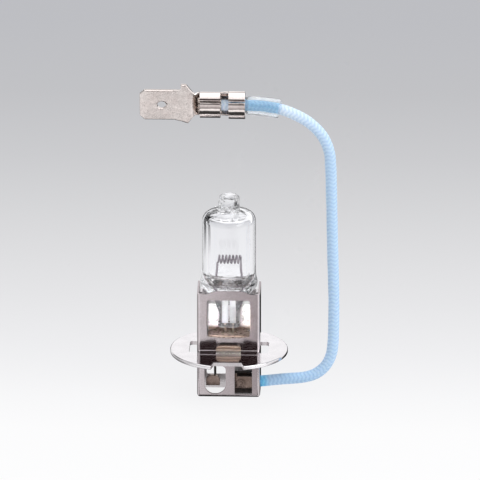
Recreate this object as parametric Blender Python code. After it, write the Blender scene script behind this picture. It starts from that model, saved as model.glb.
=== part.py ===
"""Single-filament halogen headlight bulb with a sheet-metal holder and a flying lead.

The lamp stands upright on its holder: +Z is up, -Y is the front, and the lead leaves towards +X.
The origin is on the lamp's axis at the foot of the holder. Sizes are in metres.
"""

import math

import bmesh
import bpy
from mathutils import Vector

MM = 0.001

# Clearances between pieces that touch or slide together on the real lamp.
FIT = 0.05 * MM

# Flange disc.
DISC_RADIUS = 11.0 * MM
DISC_SHEET = 0.7 * MM
DISC_TOP = 8.8 * MM
NOTCH_DEPTH_Y = -8.5 * MM
NOTCH_HALF_INNER = 2.6 * MM
NOTCH_HALF_OUTER = 3.4 * MM
DISC_SLOT_HALF = 7.4 * MM
DISC_SLOT_FRONT = -2.88 * MM
DISC_SLOT_REAR = 3.4 * MM
WELD_TAB_HALF = 2.3 * MM
WELD_TAB_TOP = 10.6 * MM
WELD_TAB_SHEET = 0.6 * MM

# Holder: a front channel with a rear channel nested in it.
HOLDER_HALF_WIDTH = 5.9 * MM
HOLDER_HALF_DEPTH = 2.85 * MM
HOLDER_SHEET = 0.4 * MM
HOLDER_BEND = 0.6 * MM
HOLDER_TOP = 20.3 * MM
HOLDER_ARCH = 0.6 * MM
ARCH_REACH = 4.4 * MM
ARCH_RAMP = 2.4 * MM
HOLDER_EAR_TOP = 21.05 * MM
FOOT_LIP_HALF = 5.2 * MM
FOOT_LIP_BACK = -1.9 * MM
FOOT_BEND = 0.45 * MM
REAR_TOP = 19.6 * MM
REAR_FLANGE_FRONT = 0.6 * MM
REAR_FLANGE_BOTTOM = 4.2 * MM
UPPER_WINDOW = (-4.05 * MM, 4.05 * MM, 11.9 * MM, 19.1 * MM)
LEFT_WINDOW = (-4.5 * MM, -0.53 * MM, 0.6 * MM, 6.1 * MM)
RIGHT_WINDOW = (1.13 * MM, 4.4 * MM, 0.6 * MM, 6.1 * MM)
REAR_WINDOW_NEAR = 0.6 * MM
REAR_WINDOW_FAR = 4.3 * MM
REAR_WINDOW_TOP = 7.4 * MM
LEFT_REAR_WINDOW_BOTTOM = 2.7 * MM
RIGHT_REAR_WINDOW_BOTTOM = 4.3 * MM
SHELF_TOP = 12.0 * MM
SHELF_SHEET = 0.35 * MM
SHELF_LEG_TOP = 16.6 * MM
SHELF_FRONT = -2.2 * MM
SHELF_HALF = 3.9 * MM
SHELF_LEAD_HOLE = 0.5 * MM

# Glass envelope.
BULB_RADIUS = 5.0 * MM
BULB_WALL = 1.0 * MM
PINCH_BOTTOM = 13.3 * MM
PINCH_HALF_WIDTH = 2.05 * MM
PINCH_HALF_DEPTH = 1.6 * MM
PINCH_WEB_HALF = 1.42 * MM
PINCH_WEB_RECESS = 0.5 * MM
PINCH_WEB_TOP = 18.9 * MM
FLARE_HALF_WIDTH = 5.35 * MM
BODY_TOP = 34.45 * MM
SHOULDER_BEND = 1.0 * MM
TIP_TOP = 39.15 * MM

# Filament and its leads.
COIL_CENTRE_Z = 26.4 * MM
COIL_HALF_LENGTH = 2.1 * MM
COIL_RADIUS = 0.72 * MM
COIL_TURNS = 6.5
FILAMENT_RADIUS = 0.16 * MM
COIL_LEG = 0.85 * MM
LEAD_RADIUS = 0.21 * MM
FOIL_X = 0.75 * MM
FOIL_WIDTH = 1.2 * MM
FOIL_THICKNESS = 0.06 * MM
FOIL_BOTTOM = 13.7 * MM
FOIL_TOP = 18.6 * MM
OUTER_LEAD_RADIUS = 0.225 * MM
OUTER_LEAD_TOP = FOIL_BOTTOM - 0.1 * MM
GROUND_LEAD_X = -2.6 * MM

# Ground strap, feed strip and the block under the feed strip.
STRAP_SHEET = 0.35 * MM
LUG_HALF_WIDTH = 1.3 * MM
LUG_HALF_DEPTH = 0.5 * MM
LUG_CENTRE_X = -3.0 * MM
LUG_BOTTOM = 1.46 * MM
LUG_TOP = 3.4 * MM
LUG_ROUND = 1.1 * MM
STRAP_FOOT_TOP = 2.5 * MM
STRAP_ARM_HALF_WIDTH = 0.65 * MM
FEED_PLATE_FRONT = -0.92 * MM
FEED_PLATE_REAR = -0.56 * MM
FEED_WELD_CENTRE = (2.25 * MM, 2.1 * MM)
BLOCK_LEFT = 1.0 * MM
BLOCK_RIGHT = 4.6 * MM

# Lead wire, clear sleeve and spade terminal.
WIRE_RADIUS = 1.05 * MM
WIRE_START_X = 4.7 * MM
WIRE_HEIGHT = 2.19 * MM
SLEEVE_START_X = 0.1 * MM
SLEEVE_END_X = 9.5 * MM
SLEEVE_OUTER = 1.76 * MM
SLEEVE_GRIPPED = 1.6 * MM
SLEEVE_GRIPPED_TO_X = 3.1 * MM
SLEEVE_FREE_FROM_X = 3.5 * MM
SLEEVE_INNER = 1.42 * MM
SLEEVE_GRIPPED_INNER = 1.13 * MM
CORE_RADIUS = 0.5 * MM
CORE_END_X = 2.6 * MM
WIRE_HOLE_RADIUS = WIRE_RADIUS + 0.22 * MM
TERMINAL_HEIGHT = 56.6 * MM
TERMINAL_ROLL = math.radians(15.3)
TAB_THICKNESS = 0.8 * MM
TAB_HOLE_X = -12.5 * MM
TAB_HOLE_RADIUS = 0.85 * MM
CRIMPED_CORE_HALF_Y = 1.2 * MM
CRIMPED_CORE_HALF_UP = 1.8 * MM

# Points that the lead wire passes through, as (x, z) in millimetres; it lies in the plane y = 0.
WIRE_ROUTE_MM = [
    (4.7, 2.19), (5.97, 2.26), (9.9, 2.7), (14.4, 3.2), (16.4, 3.95), (18.1, 5.5),
    (19.1, 7.6), (19.45, 9.9), (19.55, 12.4), (19.6, 18.3), (19.35, 28.1), (19.13, 38.0),
    (18.93, 44.9), (18.65, 47.7), (17.4, 50.7), (14.75, 53.45), (11.4, 55.25), (9.3, 55.95),
    (6.0, 56.45), (2.6, 56.6), (-1.4, 56.6),
]


def clear_scene():
    for old in list(bpy.data.objects):
        bpy.data.objects.remove(old, do_unlink=True)


def make_material(name, colour, roughness, metallic, transmission=0.0):
    material = bpy.data.materials.new(name)
    material.use_nodes = True
    shader = material.node_tree.nodes["Principled BSDF"]
    shader.inputs["Base Color"].default_value = (*colour, 1.0)
    shader.inputs["Roughness"].default_value = roughness
    shader.inputs["Metallic"].default_value = metallic
    shader.inputs["Transmission Weight"].default_value = transmission
    return material


def add_empty(name, parent=None):
    empty = bpy.data.objects.new(name, None)
    bpy.context.collection.objects.link(empty)
    empty.parent = parent
    return empty


def add_mesh(name, bm, material, parent=None, sharp_degrees=35.0):
    """Turns a bmesh into an object with outward faces and smooth shading between sharp edges."""
    bmesh.ops.recalc_face_normals(bm, faces=bm.faces)
    mesh = bpy.data.meshes.new(name)
    bm.to_mesh(mesh)
    bm.free()
    mesh.shade_smooth()
    mesh.set_sharp_from_angle(angle=math.radians(sharp_degrees))
    part = bpy.data.objects.new(name, mesh)
    bpy.context.collection.objects.link(part)
    part.parent = parent
    if material is not None:
        mesh.materials.append(material)
    return part


def loft(rings, closed_tube=False):
    """A bmesh skin over rings of equal length: capped at both ends, or joined into a ring of rings."""
    bm = bmesh.new()
    loops = [[bm.verts.new(point) for point in ring] for ring in rings]
    pairs = list(zip(loops, loops[1:]))
    if closed_tube:
        pairs.append((loops[-1], loops[0]))
    count = len(loops[0])
    for lower, upper in pairs:
        for i in range(count):
            j = (i + 1) % count
            bm.faces.new((lower[i], lower[j], upper[j], upper[i]))
    if not closed_tube:
        bm.faces.new(loops[0])
        bm.faces.new(loops[-1])
    return bm


def prism(outline, low, high, axis):
    """Extrudes a flat outline from low to high along X, Y or Z; it lists the other two coordinates."""
    place = {
        "X": lambda p, level: (level, p[0], p[1]),
        "Y": lambda p, level: (p[0], level, p[1]),
        "Z": lambda p, level: (p[0], p[1], level),
    }[axis]
    return loft([[place(p, low) for p in outline], [place(p, high) for p in outline]])


def arc(centre, radius, start_degrees, end_degrees, steps=6):
    points = []
    for i in range(steps + 1):
        angle = math.radians(start_degrees + (end_degrees - start_degrees) * i / steps)
        points.append((centre[0] + radius * math.cos(angle), centre[1] + radius * math.sin(angle)))
    return points


def rounded_rectangle(low_u, high_u, low_v, high_v, radii, steps=6):
    """Outline with a radius for each corner: low-low, high-low, high-high and low-high."""
    corners = [
        (low_u, low_v, 1, 1, 180),
        (high_u, low_v, -1, 1, 270),
        (high_u, high_v, -1, -1, 0),
        (low_u, high_v, 1, -1, 90),
    ]
    points = []
    for (u, v, inward_u, inward_v, start), radius in zip(corners, radii):
        if radius <= 0:
            points.append((u, v))
            continue
        centre = (u + inward_u * radius, v + inward_v * radius)
        points.extend(arc(centre, radius, start, start + 90, steps))
    return points


def hide_cutter(cutter):
    cutter.hide_render = True
    cutter.display_type = "WIRE"


def boolean(part, other, operation):
    modifier = part.modifiers.new(operation.lower(), "BOOLEAN")
    modifier.operation = operation
    modifier.solver = "EXACT"
    modifier.object = other
    hide_cutter(other)


def cut(part, bm, label):
    boolean(part, add_mesh(f"{part.name}_{label}", bm, None, part.parent), "DIFFERENCE")


def join(part, bm, label):
    boolean(part, add_mesh(f"{part.name}_{label}", bm, None, part.parent), "UNION")


def smooth_route(points, spacing):
    """Points a given distance apart on a centripetal Catmull-Rom curve through the route's points."""
    knots = [Vector(p) for p in points]
    ends = [2 * knots[0] - knots[1]] + knots + [2 * knots[-1] - knots[-2]]
    dense = []
    for a, b, c, d in zip(ends, ends[1:], ends[2:], ends[3:]):
        t1 = (b - a).length ** 0.5
        t2 = t1 + (c - b).length ** 0.5
        t3 = t2 + (d - c).length ** 0.5
        for i in range(24):
            t = t1 + (t2 - t1) * i / 24
            ab = a.lerp(b, t / t1)
            bc = b.lerp(c, (t - t1) / (t2 - t1))
            cd = c.lerp(d, (t - t2) / (t3 - t2))
            abc = ab.lerp(bc, t / t2)
            bcd = bc.lerp(cd, (t - t1) / (t3 - t1))
            dense.append(abc.lerp(bcd, (t - t1) / (t2 - t1)))
    dense.append(knots[-1])
    total = sum((q - p).length for p, q in zip(dense, dense[1:]))
    steps = max(1, round(total / spacing))
    result = [dense[0]]
    travelled = 0.0
    for p, q in zip(dense, dense[1:]):
        length = (q - p).length
        while length > 0 and len(result) < steps and travelled + length >= total * len(result) / steps:
            result.append(p.lerp(q, (total * len(result) / steps - travelled) / length))
        travelled += length
    result.append(dense[-1])
    return result


def add_tube(name, points, radius, material, parent, bevel_resolution=2):
    """A round wire along the points, as a curve with a bevel and filled ends."""
    curve = bpy.data.curves.new(name, "CURVE")
    curve.dimensions = "3D"
    curve.bevel_depth = radius
    curve.bevel_resolution = bevel_resolution
    curve.use_fill_caps = True
    spline = curve.splines.new("POLY")
    spline.points.add(len(points) - 1)
    for slot, point in zip(spline.points, points):
        slot.co = (*point, 1.0)
    curve.materials.append(material)
    tube = bpy.data.objects.new(name, curve)
    bpy.context.collection.objects.link(tube)
    tube.parent = parent
    return tube


def ring_frames(points):
    """A sideways and an upward direction at each point of a route that lies near the XZ plane."""
    frames = []
    for i in range(len(points)):
        forward = (points[min(i + 1, len(points) - 1)] - points[max(i - 1, 0)]).normalized()
        side = Vector((0.0, 1.0, 0.0))
        frames.append((side, forward.cross(side).normalized()))
    return frames


def swept_rings(points, radius_y, radius_up, sides):
    rings = []
    for point, (side, up) in zip(points, ring_frames(points)):
        ring = []
        for i in range(sides):
            angle = 2 * math.pi * i / sides
            ring.append(point + side * radius_y * math.cos(angle) + up * radius_up * math.sin(angle))
        rings.append(ring)
    return rings


def circle(centre, radius, segments):
    return arc(centre, radius, 0.0, 360.0 * (segments - 1) / segments, segments - 1)


def weld_tab_outline(side):
    """Section of a tab turned up from the disc to lie against the holder; side is -1 front, +1 rear."""
    near = side * (HOLDER_HALF_DEPTH + FIT)
    far = near + side * WELD_TAB_SHEET
    foot = DISC_TOP - DISC_SHEET / 2
    bend = 0.55 * MM
    points = [(near, foot - DISC_SHEET / 2 + FIT), (near, WELD_TAB_TOP), (far, WELD_TAB_TOP)]
    fillet = arc((0.0, 0.0), bend, 180, 270, 5)
    for u, v in fillet:
        points.append((far + side * (bend + u), DISC_TOP + bend + v))
    points.append((far + side * bend, foot))
    points.append((near + side * FIT * 2, foot - DISC_SHEET / 2 + FIT))
    return points


def make_flange_disc(material, parent):
    blank = prism(circle((0.0, 0.0), DISC_RADIUS, 96), DISC_TOP - DISC_SHEET, DISC_TOP, "Z")
    disc = add_mesh("flange_disc", blank, material, parent)
    below = DISC_TOP - 2 * DISC_SHEET
    above = DISC_TOP + DISC_SHEET
    notch = [
        (-NOTCH_HALF_INNER, NOTCH_DEPTH_Y),
        (NOTCH_HALF_INNER, NOTCH_DEPTH_Y),
        (NOTCH_HALF_OUTER, -DISC_RADIUS - MM),
        (-NOTCH_HALF_OUTER, -DISC_RADIUS - MM),
    ]
    cut(disc, prism(notch, below, above, "Z"), "notch")
    slot = rounded_rectangle(
        -DISC_SLOT_HALF, DISC_SLOT_HALF, DISC_SLOT_FRONT, DISC_SLOT_REAR, [0.5 * MM] * 4, 4
    )
    cut(disc, prism(slot, below, above, "Z"), "slot")
    for side, label in ((-1, "front_tab"), (1, "rear_tab")):
        join(disc, prism(weld_tab_outline(side), -WELD_TAB_HALF, WELD_TAB_HALF, "X"), label)
        for hand in (-1, 1):
            corner = [
                (hand * (WELD_TAB_HALF + MM), WELD_TAB_TOP + MM),
                (hand * (WELD_TAB_HALF - 1.7 * MM), WELD_TAB_TOP + MM),
                (hand * (WELD_TAB_HALF + MM), WELD_TAB_TOP - 1.7 * MM),
            ]
            low, high = sorted((side * HOLDER_HALF_DEPTH, side * 4.5 * MM))
            cut(disc, prism(corner, low, high, "Y"), f"{label}_corner_{'left' if hand < 0 else 'right'}")
    return disc


def channel_outline(half_width, closed_y, open_y, sheet, bend):
    """Plan of a U-shaped channel whose web is at closed_y and whose legs end at open_y."""
    direction = 1 if open_y > closed_y else -1
    inner = bend - sheet
    outside = [(-half_width, open_y)]
    inside = [(-half_width + sheet, open_y)]
    for step in range(6):
        angle = math.radians(18 * step)
        for side, radius in ((outside, bend), (inside, inner)):
            x = -half_width + bend - radius * math.cos(angle)
            side.append((x, closed_y + direction * (bend - radius * math.sin(angle))))
    outside += [(-x, y) for x, y in reversed(outside)]
    inside += [(-x, y) for x, y in reversed(inside)]
    return outside + inside[::-1]


def holder_top_outline():
    """Everything above the front channel's rim, which rises to a low arch in the middle."""
    margin = HOLDER_HALF_WIDTH + MM
    points = [(-margin, HOLDER_TOP)]
    steps = 20
    for i in range(steps + 1):
        x = -ARCH_REACH + 2 * ARCH_REACH * i / steps
        rise = min(1.0, (ARCH_REACH - abs(x)) / ARCH_RAMP)
        points.append((x, HOLDER_TOP + HOLDER_ARCH * rise * rise * (3 - 2 * rise)))
    points += [(margin, HOLDER_TOP), (margin, HOLDER_TOP + 2 * MM), (-margin, HOLDER_TOP + 2 * MM)]
    return points


def upper_window_outline():
    """The window in front of the pinch: rounded corners and a slightly bowed lower edge."""
    left, right, bottom, top = UPPER_WINDOW
    bow = 0.25 * MM
    outline = arc((left + 0.5 * MM, bottom + 0.5 * MM), 0.5 * MM, 180, 260, 4)
    for i in range(1, 8):
        x = left + (right - left) * i / 8
        outline.append((x, bottom - bow * math.sin(math.pi * i / 8)))
    outline += arc((right - 0.5 * MM, bottom + 0.5 * MM), 0.5 * MM, 280, 360, 4)
    outline += arc((right - 0.4 * MM, top - 0.4 * MM), 0.4 * MM, 0, 90, 4)
    outline += arc((left + 0.4 * MM, top - 0.4 * MM), 0.4 * MM, 90, 180, 4)
    return outline


def make_cage_front(material, parent):
    outline = channel_outline(
        HOLDER_HALF_WIDTH, -HOLDER_HALF_DEPTH, HOLDER_HALF_DEPTH, HOLDER_SHEET, HOLDER_BEND
    )
    cage = add_mesh("cage_front", prism(outline, 0.0, HOLDER_EAR_TOP, "Z"), material, parent)
    wall_front = -HOLDER_HALF_DEPTH + HOLDER_BEND
    cut(cage, prism(holder_top_outline(), -4 * MM, wall_front, "Y"), "rim")
    above_ears = [(wall_front, HOLDER_TOP), (HOLDER_HALF_DEPTH, HOLDER_EAR_TOP)]
    above_ears += [(HOLDER_HALF_DEPTH, HOLDER_EAR_TOP + MM), (wall_front, HOLDER_EAR_TOP + MM)]
    cut(cage, prism(above_ears, -7 * MM, 7 * MM, "X"), "ear_slope")
    inner_face = -HOLDER_HALF_DEPTH + HOLDER_SHEET
    root = inner_face - 0.2 * MM
    lip = [(root, 0.0), (FOOT_LIP_BACK, 0.0), (FOOT_LIP_BACK, HOLDER_SHEET), (root, HOLDER_SHEET)]
    join(cage, prism(lip, -FOOT_LIP_HALF, FOOT_LIP_HALF, "X"), "foot_lip")
    bend = FOOT_BEND
    foot_edge = arc((-HOLDER_HALF_DEPTH + bend, bend), bend, 180, 270, 5)
    foot_edge += [(-HOLDER_HALF_DEPTH + bend, -0.2 * MM), (-HOLDER_HALF_DEPTH - 0.2 * MM, -0.2 * MM)]
    foot_edge += [(-HOLDER_HALF_DEPTH - 0.2 * MM, bend)]
    cut(cage, prism(foot_edge, -7 * MM, 7 * MM, "X"), "foot_bend")
    front_low, front_high = -HOLDER_HALF_DEPTH - MM, inner_face + 0.2 * MM
    cut(cage, prism(upper_window_outline(), front_low, front_high, "Y"), "upper_window")
    left = rounded_rectangle(*LEFT_WINDOW, [1.9 * MM, 1.9 * MM, 0.8 * MM, 0.3 * MM])
    cut(cage, prism(left, front_low, front_high, "Y"), "left_window")
    right = rounded_rectangle(*RIGHT_WINDOW, [0.0] * 4)
    cut(cage, prism(right, front_low, front_high, "Y"), "right_window")
    for hand, label in ((-1, "left_corner"), (1, "right_corner")):
        round_centre = HOLDER_HALF_WIDTH - HOLDER_BEND
        start, stop = (0, -90) if hand > 0 else (180, 270)
        corner = arc((hand * round_centre, HOLDER_BEND), HOLDER_BEND, start, stop, 5)
        corner += [(hand * round_centre, -MM), (hand * (HOLDER_HALF_WIDTH + MM), -MM)]
        corner += [(hand * (HOLDER_HALF_WIDTH + MM), HOLDER_BEND)]
        cut(cage, prism(corner, -4 * MM, 4 * MM, "Y"), label)
    hole = circle((0.0, WIRE_HEIGHT + 0.02 * MM), WIRE_HOLE_RADIUS, 24)
    cut(cage, prism(hole, 5.0 * MM, 7.0 * MM, "X"), "wire_hole")
    return cage


def make_cage_rear(material, parent):
    half_width = HOLDER_HALF_WIDTH - HOLDER_SHEET - FIT
    outline = channel_outline(half_width, HOLDER_HALF_DEPTH, REAR_FLANGE_FRONT, HOLDER_SHEET, HOLDER_BEND)
    cage = add_mesh("cage_rear", prism(outline, 0.0, REAR_TOP, "Z"), material, parent)
    inner_face = HOLDER_HALF_DEPTH - HOLDER_SHEET
    for hand, label in ((-1, "left"), (1, "right")):
        low_x, high_x = sorted((hand * (half_width - HOLDER_BEND), hand * (half_width + MM)))
        below_flange = [(low_x, REAR_FLANGE_FRONT - MM), (high_x, REAR_FLANGE_FRONT - MM)]
        below_flange += [(high_x, HOLDER_HALF_DEPTH - HOLDER_BEND), (low_x, HOLDER_HALF_DEPTH - HOLDER_BEND)]
        cut(cage, prism(below_flange, -MM, REAR_FLANGE_BOTTOM, "Z"), f"{label}_flange_end")
        bottom = LEFT_REAR_WINDOW_BOTTOM if hand < 0 else RIGHT_REAR_WINDOW_BOTTOM
        low_x, high_x = sorted((hand * REAR_WINDOW_NEAR, hand * REAR_WINDOW_FAR))
        corners = [0.3 * MM, 0.3 * MM, 0.8 * MM, 0.8 * MM]
        window = rounded_rectangle(low_x, high_x, bottom, REAR_WINDOW_TOP, corners, 4)
        cut(cage, prism(window, inner_face - 0.2 * MM, HOLDER_HALF_DEPTH + MM, "Y"), f"{label}_window")
    return cage


def make_pinch_bracket(material, parent):
    """Angle bracket on the rear wall, whose shelf locates the foot of the pinch between the leads."""
    back = HOLDER_HALF_DEPTH - HOLDER_SHEET - FIT
    inside = back - SHELF_SHEET
    under = SHELF_TOP - SHELF_SHEET
    section = [(SHELF_FRONT, under), (SHELF_FRONT, SHELF_TOP), (inside - 0.3 * MM, SHELF_TOP)]
    section += [(inside, SHELF_TOP + 0.3 * MM), (inside, SHELF_LEG_TOP), (back, SHELF_LEG_TOP)]
    section += [(back, under + 0.5 * MM), (back - 0.5 * MM, under)]
    bracket = add_mesh("pinch_bracket", prism(section, -SHELF_HALF, SHELF_HALF, "X"), material, parent)
    for hand, label in ((-1, "left"), (1, "right")):
        taper = [(hand * 4.4 * MM, 0.2 * MM), (hand * SHELF_HALF, 0.2 * MM)]
        taper += [(hand * 2.6 * MM, back - 0.6 * MM)]
        taper += [(hand * 2.6 * MM, inside - FIT), (hand * 4.4 * MM, inside - FIT)]
        cut(bracket, prism(taper, SHELF_TOP - MM, SHELF_TOP + 0.2 * MM, "Z"), f"{label}_taper")
        hole = circle((hand * FOIL_X, 0.0), SHELF_LEAD_HOLE, 12)
        cut(bracket, prism(hole, SHELF_TOP - MM, SHELF_TOP + MM, "Z"), f"{label}_lead_hole")
    return bracket


def oval_ring(z, half_x, half_y, squareness=2.0, sides=48):
    """A level ring; squareness 2 is an ellipse, and higher values have fuller corners."""
    ring = []
    for i in range(sides):
        angle = 2 * math.pi * (i + 0.5) / sides
        c, s = math.cos(angle), math.sin(angle)
        x = half_x * math.copysign(abs(c) ** (2 / squareness), c)
        y = half_y * math.copysign(abs(s) ** (2 / squareness), s)
        ring.append((x, y, z))
    return ring


def envelope_rings():
    """Outer skin from the pinch up: flat pinch, squeezed throat, round body, shoulder and tip."""
    rings = [
        oval_ring(PINCH_BOTTOM, PINCH_HALF_WIDTH, PINCH_HALF_DEPTH, 6.0),
        oval_ring(16.4 * MM, PINCH_HALF_WIDTH, PINCH_HALF_DEPTH, 6.0),
        oval_ring(17.6 * MM, 2.45 * MM, PINCH_HALF_DEPTH, 5.0),
        oval_ring(18.75 * MM, 2.9 * MM, 1.65 * MM, 4.5),
        oval_ring(19.4 * MM, 3.4 * MM, 1.75 * MM, 3.6),
        oval_ring(19.9 * MM, 4.0 * MM, 1.9 * MM, 3.0),
        oval_ring(20.35 * MM, 4.6 * MM, 2.1 * MM, 2.6),
        oval_ring(20.95 * MM, 5.1 * MM, 2.34 * MM, 2.3),
        oval_ring(21.6 * MM, FLARE_HALF_WIDTH, 3.1 * MM),
        oval_ring(22.3 * MM, FLARE_HALF_WIDTH, 4.1 * MM),
        oval_ring(23.0 * MM, 5.1 * MM, 4.75 * MM),
        oval_ring(23.9 * MM, BULB_RADIUS, BULB_RADIUS),
        oval_ring(28.6 * MM, BULB_RADIUS, BULB_RADIUS),
        oval_ring(BODY_TOP, BULB_RADIUS, BULB_RADIUS),
    ]
    for step in range(1, 6):
        angle = math.radians(15 * step)
        radius = BULB_RADIUS - SHOULDER_BEND + SHOULDER_BEND * math.cos(angle)
        rings.append(oval_ring(BODY_TOP + SHOULDER_BEND * math.sin(angle), radius, radius))
    roof_and_tip = [(35.47, 3.4), (35.52, 2.6), (35.65, 2.15), (36.1, 1.95), (37.2, 1.97), (38.3, 1.98)]
    roof_and_tip += [(38.75, 1.75), (39.02, 1.2)]
    for z, radius in roof_and_tip:
        rings.append(oval_ring(z * MM, radius * MM, radius * MM))
    rings.append(oval_ring(TIP_TOP, 0.3 * MM, 0.3 * MM))
    return rings


def cavity_rings():
    inner = BULB_RADIUS - BULB_WALL
    sizes = [(21.9, 2.4, 0.6), (22.2, 3.3, 1.3), (22.8, 3.8, 2.4), (23.6, 4.0, 3.6), (24.4, 4.0, 4.0),
             (28.6, 4.0, 4.0), (33.9, 4.0, 4.0), (34.4, 3.75, 3.75), (34.75, 3.1, 3.1), (34.9, 1.6, 1.6),
             (35.3, 0.7, 0.7), (36.2, 0.3, 0.3)]
    return [oval_ring(z * MM, min(x * MM, inner), min(y * MM, inner)) for z, x, y in sizes]


def inner_lead_points(hand):
    route = [(2.2, 25.5), (2.26, 24.2), (2.46, 23.0), (2.5, 22.1), (2.2, 21.0), (1.5, 20.0), (0.92, 19.2)]
    points = [(hand * x * MM, 0.0, z * MM) for x, z in route]
    points.append((hand * FOIL_X, 0.0, FOIL_TOP + FIT))
    return smooth_route(points, 0.7 * MM)


def make_glass_envelope(material, parent):
    glass = add_mesh("glass_envelope", loft(envelope_rings()), material, parent)
    for face, label in ((-1, "front"), (1, "rear")):
        low, high = sorted((face * (PINCH_HALF_DEPTH - PINCH_WEB_RECESS), face * 3 * MM))
        groove = rounded_rectangle(
            -PINCH_WEB_HALF, PINCH_WEB_HALF, PINCH_BOTTOM + 0.4 * MM, PINCH_WEB_TOP, [0.3 * MM] * 4, 3
        )
        cut(glass, prism(groove, low, high, "Y"), f"{label}_web")
    cut(glass, loft(cavity_rings()), "cavity")
    for hand, label in ((-1, "left"), (1, "right")):
        route = inner_lead_points(hand)
        below = Vector((hand * FOIL_X, 0.0, FOIL_TOP - 0.2 * MM))
        bore = LEAD_RADIUS + FIT
        cut(glass, loft(swept_rings(route + [below], bore, bore, 10)), f"{label}_lead_bore")
        slot = [(hand * FOIL_X + dx * (FOIL_WIDTH / 2 + FIT), dy * (FOIL_THICKNESS / 2 + 0.03 * MM))
                for dx, dy in ((-1, -1), (1, -1), (1, 1), (-1, 1))]
        cut(glass, prism(slot, FOIL_BOTTOM - FIT, FOIL_TOP + FIT, "Z"), f"{label}_foil_slot")
        hole = circle((hand * FOIL_X, 0.0), OUTER_LEAD_RADIUS + FIT, 10)
        cut(glass, prism(hole, PINCH_BOTTOM - MM, FOIL_BOTTOM + 0.1 * MM, "Z"), f"{label}_outer_bore")
    return glass


def coil_points():
    """The filament's path: up one leg, along the coil and down the other leg."""
    start_angle = -math.pi / 2
    turns = COIL_TURNS
    steps = round(turns * 16)
    points = []
    for i in range(steps + 1):
        share = i / steps
        angle = start_angle + 2 * math.pi * turns * share
        x = -COIL_HALF_LENGTH + 2 * COIL_HALF_LENGTH * share
        z = COIL_CENTRE_Z + COIL_RADIUS * math.sin(angle)
        points.append(Vector((x, COIL_RADIUS * math.cos(angle), z)))
    end_x = COIL_HALF_LENGTH + 0.12 * MM
    first = [
        Vector((-end_x, 0.0, COIL_CENTRE_Z - COIL_LEG)),
        Vector((-end_x, 0.0, COIL_CENTRE_Z - COIL_RADIUS - 0.03 * MM)),
    ]
    last = [
        Vector((end_x - 0.04 * MM, 0.0, COIL_CENTRE_Z + 0.55 * MM)),
        Vector((end_x, 0.0, COIL_CENTRE_Z)),
        Vector((end_x, 0.0, COIL_CENTRE_Z - COIL_LEG)),
    ]
    return first + points + last


def make_filament(material, parent):
    return add_tube("filament_coil", coil_points(), FILAMENT_RADIUS, material, parent, 1)


def make_leads(inner_material, foil_material, outer_material, parent):
    for hand, label in ((-1, "left"), (1, "right")):
        add_tube(f"lead_in_{label}", inner_lead_points(hand), LEAD_RADIUS, inner_material, parent, 2)
        outline = [(hand * FOIL_X + dx * FOIL_WIDTH / 2, dy * FOIL_THICKNESS / 2)
                   for dx, dy in ((-1, -1), (1, -1), (1, 1), (-1, 1))]
        add_mesh(f"pinch_foil_{label}", prism(outline, FOIL_BOTTOM, FOIL_TOP, "Z"), foil_material, parent)
    ground = [(-0.75, 0.0, 12.8), (-0.76, 0.0, 11.6), (-1.2, 0.0, 10.4), (-2.1, 0.0, 9.4), (-2.55, 0.0, 8.2)]
    feed = [(0.75, 0.0, 12.8), (0.75, 0.0, 11.6), (0.75, -0.15, 9.5), (0.75, -0.55, 7.0), (0.75, -0.72, 5.4)]
    ground_end = [(GROUND_LEAD_X, 0.0, 6.6 * MM), (GROUND_LEAD_X, 0.0, LUG_TOP + FIT)]
    feed_end = [(FOIL_X, -0.72 * MM, 3.97 * MM)]
    wires = (("ground_lead", -1, ground, ground_end), ("feed_lead", 1, feed, feed_end))
    for name, hand, middle, end in wires:
        route = [(hand * FOIL_X, 0.0, OUTER_LEAD_TOP)] + [tuple(c * MM for c in p) for p in middle] + end
        points = smooth_route(route, 0.9 * MM)
        add_tube(name, points, OUTER_LEAD_RADIUS, outer_material, parent, 2)


def make_ground_strap(material, parent):
    """Strip from the rear wall to the ground lead: a round-topped lug, an arm and a foot on the wall."""
    back = HOLDER_HALF_DEPTH - HOLDER_SHEET - FIT
    arm_top = LUG_BOTTOM + STRAP_SHEET
    section = [(-LUG_HALF_DEPTH, LUG_BOTTOM), (back, LUG_BOTTOM), (back, STRAP_FOOT_TOP)]
    section += [(back - STRAP_SHEET, STRAP_FOOT_TOP), (back - STRAP_SHEET, arm_top)]
    section += [(LUG_HALF_DEPTH, arm_top), (LUG_HALF_DEPTH, LUG_TOP), (-LUG_HALF_DEPTH, LUG_TOP)]
    blank = prism(section, LUG_CENTRE_X - LUG_HALF_WIDTH, LUG_CENTRE_X + LUG_HALF_WIDTH, "X")
    strap = add_mesh("ground_strap", blank, material, parent)
    for hand, label in ((-1, "left"), (1, "right")):
        edge = LUG_CENTRE_X + hand * LUG_HALF_WIDTH
        centre = (edge - hand * LUG_ROUND, LUG_TOP - LUG_ROUND)
        corner = arc(centre, LUG_ROUND, 0 if hand > 0 else 180, 90, 6)
        corner += [(centre[0], LUG_TOP + MM), (edge + hand * MM, LUG_TOP + MM), (edge + hand * MM, centre[1])]
        cut(strap, prism(corner, -MM, MM, "Y"), f"{label}_round")
        low_x, high_x = sorted((LUG_CENTRE_X + hand * STRAP_ARM_HALF_WIDTH, edge + hand * MM))
        beside_arm = [(low_x, LUG_HALF_DEPTH), (high_x, LUG_HALF_DEPTH)]
        beside_arm += [(high_x, back + MM), (low_x, back + MM)]
        cut(strap, prism(beside_arm, LUG_BOTTOM - MM, STRAP_FOOT_TOP + MM, "Z"), f"{label}_waist")
    return strap


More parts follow.
